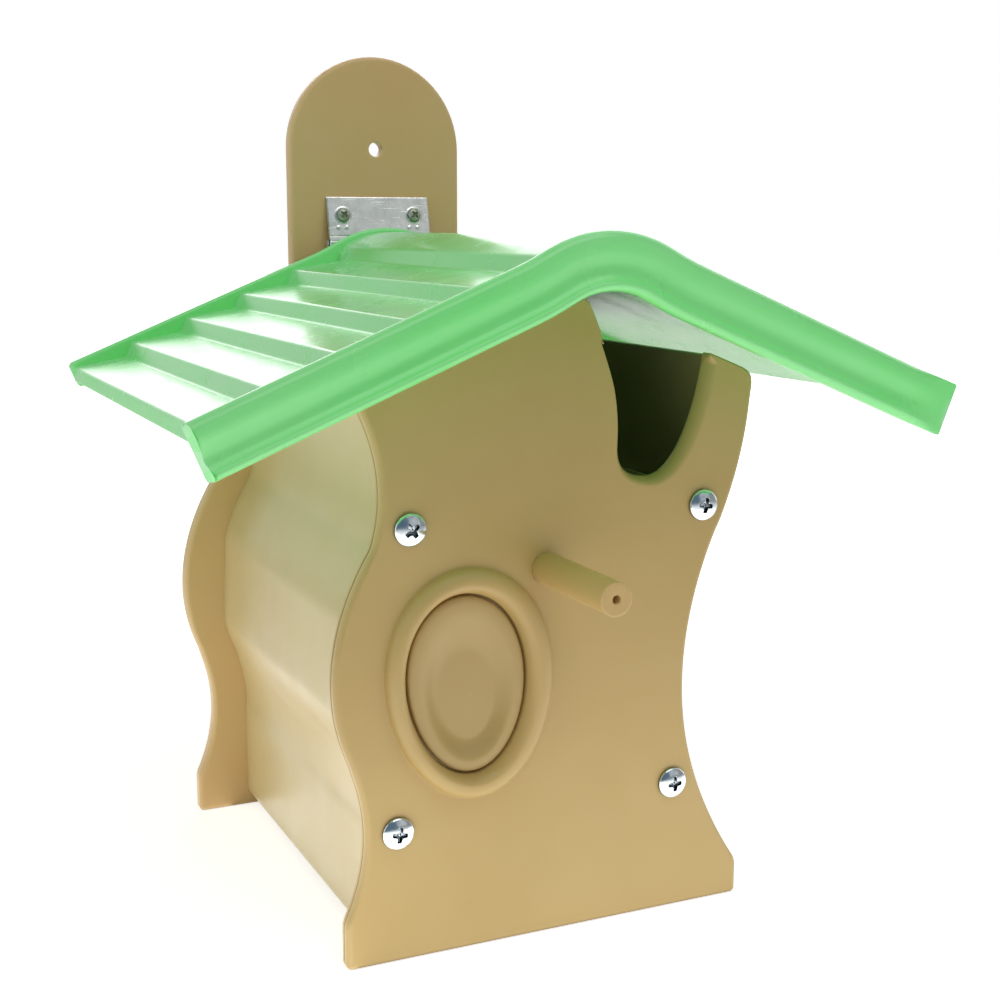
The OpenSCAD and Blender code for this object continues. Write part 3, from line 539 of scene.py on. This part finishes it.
# The saw left the rim of the end slightly ragged: it is up to 0.12 mm short in a few places.
rim = (bar_points[:, 1] < tip_y + 0.3) & (np.hypot(bar_points[:, 0], bar_points[:, 2]) > 4.5)
around = np.arctan2(bar_points[:, 2], bar_points[:, 0])
ragged = 0.12 * np.clip(np.sin(5 * around + 1) * np.sin(13 * around) + 0.3 * np.sin(29 * around), 0, 1)
bar_points[:, 1] += rim * ragged
perch_plastic = moulded_plastic("perch_tan_polypropylene", "#bf9f62", "#d4b77f", 0.42, 0.02)
piece("perch_bar", [placed((bar_points, bar_faces), (0, 0, perch_z))], perch_plastic, "house",
      "tan_plastic", "perch")


def pan_screw(head_r, head_h, shank_r, length, cross_r, cross_w, cross_d, turn, count=144):
    """Screw along +Y, seated at the origin. The head's height at radius r is side + (head - side)
    (1 - (r/R)^2)^0.65. Its cross recess is the deepest of two tapered slots and a centre cone."""
    outer = 0.55 + 0.45 * np.sin(np.linspace(0, np.pi / 2, 14))[1:]
    share = np.concatenate([np.linspace(0, 0.55, 27), outer])
    r = head_r * share[:, None]
    a = np.linspace(0, 2 * np.pi, count, endpoint=False)
    u, v = r * np.cos(a - np.radians(turn)), r * np.sin(a - np.radians(turn))

    def slot(along, across):
        left = np.clip(1 - np.abs(along) / cross_r, 0, 1)
        edge = np.clip((cross_w * (0.42 + 0.2 * left) - np.abs(across)) / (0.16 * cross_w) + 0.5, 0, 1)
        end = np.clip(left * cross_r / 0.25, 0, 1)
        return cross_d * edge * end * (0.5 + 0.5 * left)

    cone = 0.9 * cross_d * np.clip(1.25 * (1 - r / (0.55 * cross_r)), 0, 1)
    side = 0.34 * head_h
    dome = side + (head_h - side) * (1 - share[:, None] ** 2) ** 0.65
    height = dome - np.maximum(np.maximum(slot(u, v), slot(v, u)), cone)
    head = np.stack([r * np.cos(a), -height, r * np.sin(a)], -1)
    shank = [(head_r, -0.2), (head_r - 0.2, 0), (shank_r, 0), (shank_r, length - shank_r), (0, length)]
    return net(np.concatenate([head, turned(shank, count)[0].reshape(5, count, 3)]))


def plated_steel(name, tone, shadow, roughness, recess_shade_tone):
    """Zinc-plated steel: a bright bluish metal whose plating is a little cloudy, with fine drawn
    scratches about 0.15 mm apart and duller spots where it has been handled. Recesses and nooks, found by
    occlusion within 1.6 mm, take painted shade in the nook tone."""
    finish, tree = blank(bpy.data.materials, name)
    place = add(tree, "TexCoord").outputs["Object"]
    cloud = add(tree, "TexNoise", {}, {"Vector": place, "Scale": 1 / 0.0016, "Detail": 4})
    dull = add(tree, "MapRange", {}, {0: cloud, 1: 0.42, 2: 0.75, 3: 0, 4: 0.7})
    colour = add(tree, "Mix", {"data_type": "RGBA"}, {0: dull, 6: linear(tone), 7: linear(shadow)})
    rough = add(tree, "MapRange", {}, {0: cloud, 1: 0.3, 2: 0.8, 3: roughness * 0.8, 4: roughness * 1.7})
    along = add(tree, "Mapping", {},
                {"Vector": place, "Rotation": (0.2, 0.5, 0.9), "Scale": (6600, 900, 900)})
    lines = add(tree, "TexNoise", {}, {"Vector": along, "Scale": 1, "Detail": 2})
    bump = add(tree, "Bump", {}, {"Height": lines, "Strength": 0.25, "Distance": 0.00002})
    # Painted shade: the colour turns to the nook tone where other surfaces lie within 1.6 mm, in the cross
    # recess and round the heads.
    recess_shade_probe = add(tree, "AmbientOcclusion", {"samples": 8}, {"Distance": 0.0016})
    unshaded_share = add(tree, "MapRange", {}, {0: recess_shade_probe.outputs["AO"], 1: 0.5, 2: 0.92, 3: 0, 4: 1})
    colour = add(tree, "Mix", {"data_type": "RGBA"},
                 {0: unshaded_share, 6: linear(recess_shade_tone), 7: colour.outputs[2]})
    skin = add(tree, "BsdfPrincipled", {},
               {"Base Color": colour.outputs[2], "Metallic": 1, "Roughness": rough, "Normal": bump})
    add(tree, "OutputMaterial", {}, {"Surface": skin})
    return finish


# The last colour is painted shade, laid into the cross recesses and round the screw heads.
zinc = plated_steel("zinc_plated_steel", "#dfe7ec", "#a9b4c0", 0.16, "#132433")
inside_screw = pan_screw(3.0, 2.0, 1.25, 20.0, 1.15, 0.9, 0.8, 30)
piece("perch_fixing", [placed(inside_screw, (0, front_inner_y, perch_z), flip=True)], zinc, "house",
      "zinc_steel", "perch_screw")

# House screws: eight equal pan-head screws in zinc-plated steel with a cross recess, four through
# each panel into the shell's bosses. Each was left at the angle where it came tight.
shank_radius, shank_length, cross_r, cross_w, cross_d = 2.0, 20.0, 2.4, 1.25, 1.6
house_screw = (head_radius, head_height, shank_radius, shank_length, cross_r, cross_w, cross_d)
front_turns, rear_turns = (-8, 3, 36, -10), (20, 65, 5, 48)
front_heads = [placed(pan_screw(*house_screw, turn), (x, front_y, z))
               for (x, z), turn in zip(screw_places, front_turns)]
rear_heads = [placed(pan_screw(*house_screw, turn), (x, sink_y, z), flip=True)
              for (x, z), turn in zip(screw_places, rear_turns)]
piece("face_board_screws", front_heads, zinc, "house", "zinc_steel", "front_screws")
piece("hanging_board_screws", rear_heads, zinc, "house", "zinc_steel", "rear_screws")

# Fixed hinge leaf: 1 mm aluminium sheet, cut with crisp edges and rolled round the pin in three
# knuckles. It leans back from the pin until its top edge meets the tongue. Punching left a rim
# round each screw hole and two small dimples under it. Two short screws hold it to the tongue.
leaf_w, leaf_t, leaf_len, moving_len, knuckle_r, pin_r = 40.0, 1.0, 17.0, 16.0, 2.2, 1.0
leaf_pitch, leaf_up, knuckle_gap, roof_clear = 28.0, 10.2, 0.3, 14.6
pin_gap, pin_drop, knuckle_w = 0.2, 6.0, leaf_w / 5 - knuckle_gap
pin_y, pin_z = tongue_y - knuckle_r - pin_gap, ridge_height + roof_clear - pin_drop
lean_reach = np.hypot(leaf_len, knuckle_r - leaf_t)
leaf_lean = -np.degrees(np.arcsin((knuckle_r + pin_gap) / lean_reach)
                        + np.arctan((knuckle_r - leaf_t) / leaf_len))
leaf_head, leaf_cross = (2.45, 1.7, 1.4), (1.5, 0.75, 0.9)


def sheet(x0, x1, z0, z1, pressed, columns=120, rows=60):
    """Metal sheet between y = -knuckle_r and its back: the face's height over the sheet is
    pressed(x, z), less a 0.15 mm rounding along the border."""
    x, z = np.meshgrid(np.linspace(x0, x1, columns), np.linspace(z0, z1, rows))
    border = np.minimum(np.minimum(x - x0, x1 - x), np.minimum(z - z0, z1 - z))
    lift = pressed(x, z) - 0.15 * np.clip(1 - border / 0.2, 0, 1)
    face = np.stack([x, -knuckle_r - lift, z], -1)
    rear = np.stack([x, np.full(x.shape, leaf_t - knuckle_r), z], -1)
    rim = [np.concatenate([side[0], side[1:, -1], side[-1, -2::-1], side[-2:0:-1, 0]])
           for side in (face, rear)]
    return [net(face, closed=False), net(rear, closed=False), net(np.stack(rim))]


def pressed_marks(x, z):
    """Rims 0.3 mm high round the two screw holes, and two dimples 0.35 mm high under each."""
    lift = np.zeros(x.shape)
    for side in (-1, 1):
        hole = np.hypot(x - side * leaf_pitch / 2, z - leaf_up)
        lift += 0.3 * np.exp(-((hole - 2.75) / 0.28) ** 2)
        for shift in (-2.1, 1.1):
            spot = np.hypot(x - side * leaf_pitch / 2 - shift, z - leaf_up + 4.6)
            lift += 0.35 * np.exp(-(spot / 0.55) ** 2)
    return lift


def hinge_leaf(length, first):
    """Leaf over its pin along X at the origin: the sheet, and knuckles first, first + 2, ..."""
    parts = sheet(-leaf_w / 2, leaf_w / 2, 2.5, length, pressed_marks)
    tube = np.array([(pin_r + 0.05, 0), (knuckle_r - 0.2, 0), (knuckle_r, 0.2), (knuckle_r, knuckle_w - 0.2),
                     (knuckle_r - 0.2, knuckle_w), (pin_r + 0.05, knuckle_w), (pin_r + 0.05, 0)])
    for number in range(first, 5, 2):
        x0 = (number - 2.5) * leaf_w / 5 + knuckle_gap / 2
        points, faces = turned(tube, 40)
        parts.append((points[:, [1, 0, 2]] + (x0, 0, 0), faces))
        parts += sheet(x0, x0 + knuckle_w, 0, 2.7, lambda x, z: 0 * x, 8, 4)
    return parts


def rolled_aluminium(name, tone, shadow, roughness):
    """Rolled aluminium sheet, bare: pale grey, brushed up and down with lines about 0.7 mm
    apart, blotchy with handling and scratched here and there."""
    finish, tree = blank(bpy.data.materials, name)
    place = add(tree, "TexCoord").outputs["Object"]
    blotch = add(tree, "TexNoise", {}, {"Vector": place, "Scale": 1 / 0.006, "Detail": 5, "Roughness": 0.6})
    grey = add(tree, "MapRange", {}, {0: blotch, 1: 0.35, 2: 0.68, 3: 0, 4: 0.6})
    colour = add(tree, "Mix", {"data_type": "RGBA"}, {0: grey, 6: linear(tone), 7: linear(shadow)})
    along = add(tree, "Mapping", {}, {"Vector": place, "Rotation": (0, 0.12, 0), "Scale": (1500, 1500, 260)})
    lines = add(tree, "TexNoise", {}, {"Vector": along, "Scale": 1, "Detail": 3})
    across = add(tree, "Mapping", {}, {"Vector": place, "Rotation": (0, 0.9, 0), "Scale": (160, 1800, 1800)})
    nicks = add(tree, "TexNoise", {}, {"Vector": across, "Scale": 1, "Detail": 2})
    nick = add(tree, "MapRange", {}, {0: nicks, 1: 0.62, 2: 0.72, 3: 0, 4: 0.6})
    height = add(tree, "Math", {"operation": "SUBTRACT"}, {0: lines, 1: nick})
    rough = add(tree, "MapRange", {}, {0: lines, 1: 0.3, 2: 0.7, 3: roughness - 0.07, 4: roughness + 0.1})
    bump = add(tree, "Bump", {}, {"Height": height, "Strength": 0.6, "Distance": 0.0001})
    skin = add(tree, "BsdfPrincipled", {},
               {"Base Color": colour.outputs[2], "Metallic": 1, "Roughness": rough, "Normal": bump})
    add(tree, "OutputMaterial", {}, {"Surface": skin})
    return finish


pin_place = np.array([0, pin_y, pin_z])
aluminium = rolled_aluminium("bare_rolled_aluminium", "#f4f6f1", "#c9cec6", 0.32)
# The last colour is painted shade for the recesses and nooks, lighter than on the bright zinc.
dull_zinc = plated_steel("dull_plated_steel", "#c2c8b6", "#99a18d", 0.58, "#7d8472")
fixed_leaf = [placed(part, pin_place, leaf_lean) for part in hinge_leaf(leaf_len, 0)]
piece("tongue_leaf", fixed_leaf, aluminium, "house", "aluminium", "hinge_fixed_leaf")
tongue_heads = []
for side, turn in ((-1, 48), (1, 40)):
    points, faces = pan_screw(*leaf_head, 5.0, *leaf_cross, turn, 96)
    seated = points + (side * leaf_pitch / 2, -knuckle_r, leaf_up)
    tongue_heads.append(placed((seated, faces), pin_place, leaf_lean))
piece("tongue_leaf_screws", tongue_heads, dull_zinc, "house", "zinc_steel", "tongue_screws")

# Hinge pin: a 2 mm steel wire, pushed through the knuckles of both leaves and headed at both ends.
# The roof lifts on it.
pin_profile = [(0, 0), (1.2, 0), (1.5, 0.15), (1.5, 0.4), (pin_r, 0.5), (pin_r, 0.5 + leaf_w),
               (1.5, 0.6 + leaf_w), (1.5, 0.85 + leaf_w), (1.2, 1 + leaf_w), (0, 1 + leaf_w)]
pin_points, pin_faces = turned(pin_profile, 32)
piece("roof_pin", [(pin_points[:, [1, 0, 2]] + pin_place - (0.5 + leaf_w / 2, 0, 0), pin_faces)], dull_zinc,
      "house", "zinc_steel", "hinge_pin")

# Roof: five treads a side under a round ridge cap, a moulded fascia in front and a rim behind, all
# one injection moulding in glossy green polypropylene. A rib rests on the front panel's gable, and
# a block behind the ridge carries the hinge.
fascia_y, roof_rear_y = -93.0, tongue_y - 9.0
step_start, step_w, step_count, riser_h, riser_run = 17.0, 19.6, 5, 5.1, 2.1
cap_r, skin_t, crest_r, crest_half, rim_rise = 30.0, 2.5, 40.0, 21.0, 2.0
fascia_half, plain_run, plain_deep, plain_edge = 118.3, 16.0, 4.4, 1.3
rib_left, rib_right, rib_front, rib_rear, block_front = -50.0, 12.0, -52.5, -48.5, 74.0
rest_gap, sunk_in = 0.2, 0.8
eave = step_start + step_count * step_w
under_drop, cap_under = 5.3, 12.0


def roof_line(x):
    """Height of the line through the outer corners of the steps."""
    return gable(x) + roof_clear


def cap(radius, half):
    """Arc of the ridge cap between x = -half and x = half, left to right."""
    a = np.linspace(-1, 1, 60) * np.arcsin(half / radius)
    return np.stack([radius * np.sin(a), cap_z + radius * np.cos(a)], 1)


cap_z = roof_line(step_start) - np.sqrt(cap_r ** 2 - step_start ** 2)
right_half = [p for x in step_start + step_w * np.arange(step_count)
              for p in ((x, roof_line(x)), (x + riser_run, roof_line(x) - riser_h))]
right_half = np.array(right_half + [(eave, roof_line(eave)), (eave, roof_line(eave) - riser_h)])
left_half = right_half[::-1] * (-1, 1)
top_lines = ([left_half[i:i + 2] for i in range(len(left_half) - 1)] + [cap(cap_r, step_start)]
             + [right_half[i:i + 2] for i in range(len(right_half) - 1)])
# The underside is plain: one slope a side from the cap down to the eave.
under_cap = cap(cap_r - skin_t, cap_under)[::-1]
under_half = np.array([under_cap[0], (step_start, roof_line(step_start) - under_drop), right_half[-1]])
under_lines = [under_half[[2, 1]], under_half[[1, 0]], under_cap, under_half[[0, 1]] * (-1, 1),
               under_half[[1, 2]] * (-1, 1)]
skin_lines = top_lines + under_lines
skin_reaches = [0.8] * (len(top_lines) - 1) + [0.6, 1.5, 1.0, 1.0, 1.5, 0.6]
skin_counts = [9 if len(line) == 2 else 34 for line in skin_lines]
skin_outline, _ = joined(skin_lines, skin_reaches, skin_counts)
skin_span = np.linspace(fascia_y + 1.5, roof_rear_y - 1.15, 12)
roof_parts = board(skin_outline, [(0, y) for y in skin_span])


def rim_line(end):
    """Top line of the rims, left to right: a round crest of 40 mm radius between straight slopes,
    its height averaged under a bell curve of 3.5 mm. Also its unit normals and directions."""
    offset = np.linspace(-10, 10, 41)
    bell = np.exp(-(offset / 3.5) ** 2 / 2)
    x = np.linspace(-end, end, 190)
    near = x[:, None] + offset
    arc = ridge_height + roof_clear - crest_r + np.sqrt(np.maximum(crest_r ** 2 - near ** 2, 0))
    z = np.where(np.abs(near) < crest_half, arc, roof_line(near) + rim_rise) @ (bell / bell.sum())
    line = np.stack([x, z], 1)
    way = np.gradient(line, axis=0)
    way /= np.hypot(*way.T)[:, None]
    return line, np.stack([-way[:, 1], way[:, 0]], 1), way


def moulding(end, section, corner, mitre, plain=0.0):
    """A section of (d, y), d below the rim line, carried along it: line - d normal. The left end is
    cut back by the mitre times the depth in front of the section's rear, and both by the corners'
    rounding. Near the right end the face flattens by the plain factor to one depth."""
    line, up, way = rim_line(end)
    d, y = section.T
    deep = y.max() - y
    share = np.clip((line[:, 0] - end + plain_run) / plain_run, 0, 1)
    share = plain * share * share * (3 - 2 * share)
    level = y - share[:, None] * np.clip(deep / plain_edge, 0, 1) * (plain_deep - deep)
    high = d.max()
    away = np.maximum(np.maximum(corner - d, d - (high - corner)), 0)
    corners = corner - np.sqrt(corner ** 2 - np.minimum(away, corner) ** 2)
    points = np.stack([line[:, None, 0] - d * up[:, None, 0], level,
                       line[:, None, 1] - d * up[:, None, 1]], -1)
    parts = []
    for row, sign, back in ((0, 1, mitre * deep + corners), (-1, -1, corners)):
        along = np.array([way[row, 0], 0, way[row, 1]]) * sign
        points[row] += back[:, None] * along
        spots, faces = triangles([section])
        order = np.argmin(np.hypot(*(spots[:, None] - section[None]).transpose(2, 0, 1)), 1)
        parts.append((points[row][order], faces))
    return [net(points)] + parts


def rounded(corners, times=2):
    """Closed polygon with its corners cut: each side gives its points at 1/4 and 3/4, times over."""
    for _ in range(times):
        after = np.roll(corners, -1, 0)
        pairs = np.stack([0.75 * corners + 0.25 * after, 0.25 * corners + 0.75 * after], 1)
        corners = pairs.reshape(-1, 2)
    return corners


rear_face = fascia_y + 3.0
fascia_section = rounded(np.array([
    (0.9, 0), (0, 0.2), (0, 1.6), (0.6, 2.8), (1.8, 3.8), (3.8, 4.3), (5.6, 4.1), (7.4, 3.4), (9.2, 2.7),
    (10.6, 2.5), (12, 2.9), (13.2, 4), (13.9, 5), (14.7, 5.1), (15.8, 4.2), (16.4, 2.6), (16.4, 0.5),
    (15.8, 0), (11, 0), (5, 0)])) * (1, -1) + (0, rear_face)
rim_section = rounded(np.array([
    (0, 0.7), (0, 1.6), (0.7, 2.3), (2, 2.3), (8.6, 2.3), (9, 2), (9, 0.3), (8.6, 0), (2, 0),
    (0.7, 0)])) * (1, -1) + (0, roof_rear_y)
roof_parts += moulding(fascia_half, fascia_section, 0.6, 0.42, 1.0)
roof_parts += moulding(eave + riser_run, rim_section, 1.6, 0.0)
under = np.concatenate(under_lines)[::-1]
rib_x = np.linspace(rib_left, rib_right, 120)
rib_top = np.stack([rib_x, np.interp(rib_x, under[:, 0], under[:, 1]) + sunk_in], 1)
rib_low = np.array([(x, gable(x) + rest_gap) for x in (rib_right, 0, rib_left)])
roof_parts += board(np.concatenate([rib_top, rib_low]), [(0, rib_front), (0, rib_rear)])
block_top, block_low, block_half = pin_z - knuckle_r - 0.3, pin_z - moving_len, leaf_w / 2 - leaf_t
block_corners = np.array([(-block_half, block_low), (-block_half, block_top), (block_half, block_top),
                          (block_half, block_low)])
block_sides = [block_corners[[i, (i + 1) % 4]] for i in range(4)]
block_outline, _ = joined(block_sides, [1.0] * 4, [6, 10, 6, 10])
moving_face = pin_y - knuckle_r
roof_parts += board(block_outline, [(0, block_front), (0, moving_face - 0.5), (0.15, moving_face - 0.15),
                                    (0.5, moving_face), (1.0, moving_face)])
block_x = np.linspace(-block_half, block_half, 60)
block_roof = np.stack([block_x, np.interp(block_x, under[:, 0], under[:, 1]) + sunk_in], 1)
block_foot = [(block_half, block_low + 1), (-block_half, block_low + 1)]
block_rows = [(0, block_front + 0.1), (0, roof_rear_y - 1.2)]
roof_parts += board(np.concatenate([block_roof, block_foot]), block_rows)
roof_plastic = moulded_plastic("gloss_green_polypropylene", "#7ff087", "#b4efba", 0.24, 0.0015)
piece("stepped_roof", roof_parts, roof_plastic, "roof_lid", "green_plastic", "roof")

# Moving hinge leaf: the twin of the fixed one, 16 mm long, hanging from the pin with two knuckles.
# Two screws hold it to the roof's block from behind.
moving_leaf = [placed((points * (1, 1, -1), faces), pin_place)
               for points, faces in hinge_leaf(moving_len, 1)]
piece("roof_leaf", moving_leaf, aluminium, "roof_lid", "aluminium", "hinge_moving_leaf")
roof_heads = []
for side, turn in ((-1, 15), (1, 62)):
    seat = pin_place + (side * leaf_pitch / 2, leaf_t - knuckle_r, -leaf_up)
    roof_heads.append(placed(pan_screw(*leaf_head, 7.0, *leaf_cross, turn, 96), seat, flip=True))
piece("roof_leaf_fixings", roof_heads, dull_zinc, "roof_lid", "zinc_steel", "roof_leaf_screws")

# Studio: a white table that runs into a white background, soft panels of light, and the camera at
# the photograph's angle. Two panels lie on the table and stand in for the light that it throws back.
# Glossy surfaces mirror a room that is bright behind, dim in front and bluer to the front left.
tent_front, tent_rear, mirror_front, mirror_rear, table_glow = 0.42, 0.0, 0.3, 1.88, 0.5
table_near, table_far, mirror_left, room_half = 0.7, 1.04, 1.1, 6
floor_mesh = bpy.data.meshes.new("table")
corners = [(x * room_half, y * room_half, 0) for x, y in ((-1, -1), (1, -1), (1, 1), (-1, 1))]
floor_mesh.from_pydata(corners, [], [(0, 1, 2, 3)])
table = in_scene("table", floor_mesh)
paper, tree = blank(bpy.data.materials, "white_paper")
paths = add(tree, "LightPath")
place = add(tree, "TexCoord").outputs["Object"]
away = add(tree, "VectorMath", {"operation": "LENGTH"}, {0: place})
seen = add(tree, "MapRange", {}, {0: away.outputs["Value"], 1: 0.25, 2: 0.9, 3: table_near, 4: table_far})
shine = add(tree, "MapRange", {},
            {0: away.outputs["Value"], 1: 0.3, 2: 1, 3: 1.6 * table_glow, 4: 0.5 * table_glow})
glossed = add(tree, "Math", {"operation": "MULTIPLY"}, {0: paths.outputs["Is Glossy Ray"], 1: shine})
strength = add(tree, "Math", {"operation": "MULTIPLY_ADD"},
               {0: paths.outputs["Is Camera Ray"], 1: seen, 2: glossed})
sheen = add(tree, "BsdfDiffuse", {}, {"Color": linear("#f0f0ee")})
glow = add(tree, "Emission", {}, {"Color": (1, 1, 1, 1), "Strength": strength})
choice = add(tree, "AddShader", {}, {0: sheen, 1: glow})
add(tree, "OutputMaterial", {}, {"Surface": choice})
floor_mesh.materials.append(paper)

bpy.context.scene.world, tree = blank(bpy.data.worlds, "white_tent")
path = add(tree, "LightPath")
mirrored = add(tree, "Math", {"operation": "MAXIMUM"},
               {0: path.outputs["Is Glossy Ray"], 1: path.outputs["Is Transmission Ray"]})
way = add(tree, "TexCoord").outputs["Generated"]
side = add(tree, "SeparateXYZ", {}, {0: way})
level = add(tree, "MapRange", {}, {0: side.outputs["Y"], 1: -0.3, 2: 0.3, 3: tent_front, 4: tent_rear})
mirrored_rear = add(tree, "MapRange", {},
                    {0: side.outputs["X"], 1: -0.1, 2: 0.1, 3: mirror_left, 4: mirror_rear})
mirrored_level = add(tree, "MapRange", {},
                     {0: side.outputs["Y"], 1: -0.15, 2: 0.2, 3: mirror_front, 4: mirrored_rear})
toward = add(tree, "VectorMath", {"operation": "DOT_PRODUCT"}, {0: way, 1: (0.8, 0.6, 0)})
tint = add(tree, "MapRange", {}, {0: toward.outputs["Value"], 1: -0.6, 2: -0.1, 3: 0, 4: 1})
hue = add(tree, "Mix", {"data_type": "RGBA"}, {0: tint, 6: linear("#a3c4dc"), 7: (1, 1, 1, 1)})
tent = add(tree, "Background", {}, {"Color": (1, 1, 1, 1), "Strength": level})
mirror = add(tree, "Background", {}, {"Color": hue.outputs[2], "Strength": mirrored_level})
white = add(tree, "Background", {}, {"Color": (1, 1, 1, 1), "Strength": 1})
lit = add(tree, "MixShader", {}, {0: mirrored, 1: tent, 2: mirror})
shown = add(tree, "MixShader", {}, {0: path.outputs["Is Camera Ray"], 1: lit, 2: white})
add(tree, "OutputWorld", {}, {"Surface": shown})


def soft_panel(name, place, target, width, height, radiance):
    """Panel of light that faces the target. Its power is pi times its area times its radiance."""
    lamp = bpy.data.lights.new(name, "AREA")
    lamp.shape = "RECTANGLE"
    lamp.size, lamp.size_y = width, height
    lamp.energy = np.pi * width * height * radiance
    thing = in_scene(name, lamp)
    thing.location = place
    thing.rotation_euler = (Vector(target) - Vector(place)).to_track_quat("-Z", "Y").to_euler()
    thing.visible_camera = False


soft_panel("left_panel", (-1.1, 0.15, 0.45), (0, 0, 0.12), 1.2, 1.0, 0.8)
soft_panel("side_panel", (-0.287, 0.0, 0.0005), (-0.287, 0.0, 1), 0.45, 0.45, 0.75)
soft_panel("key_panel", (0.55, -1.05, 0.62), (0, 0, 0.15), 0.9, 0.8, 0.26)
soft_panel("low_panel", (0, -0.2035, 0.0005), (0, -0.2035, 1), 0.9, 0.3, 0.84)
soft_panel("steep_panel", (0.1, -0.5, 1.15), (0, -0.12, 0), 0.9, 0.6, 2.0)
soft_panel("rear_panel", (0.55, 1.45, 0.62), (0, 0, 0.25), 1.5, 1.2, 1.4)

lens = bpy.data.cameras.new("photograph")
lens.lens, lens.sensor_width = 55.613, 36.0
lens.clip_start, lens.clip_end = 0.01, 50.0
camera = in_scene("photograph", lens)
camera.location = (-0.20314, -0.46225, 0.22083)
camera.rotation_euler = np.radians((79.8120, -0.0510, -24.6161))
bpy.context.scene.camera = camera
bpy.context.scene.view_settings.view_transform = "Standard"
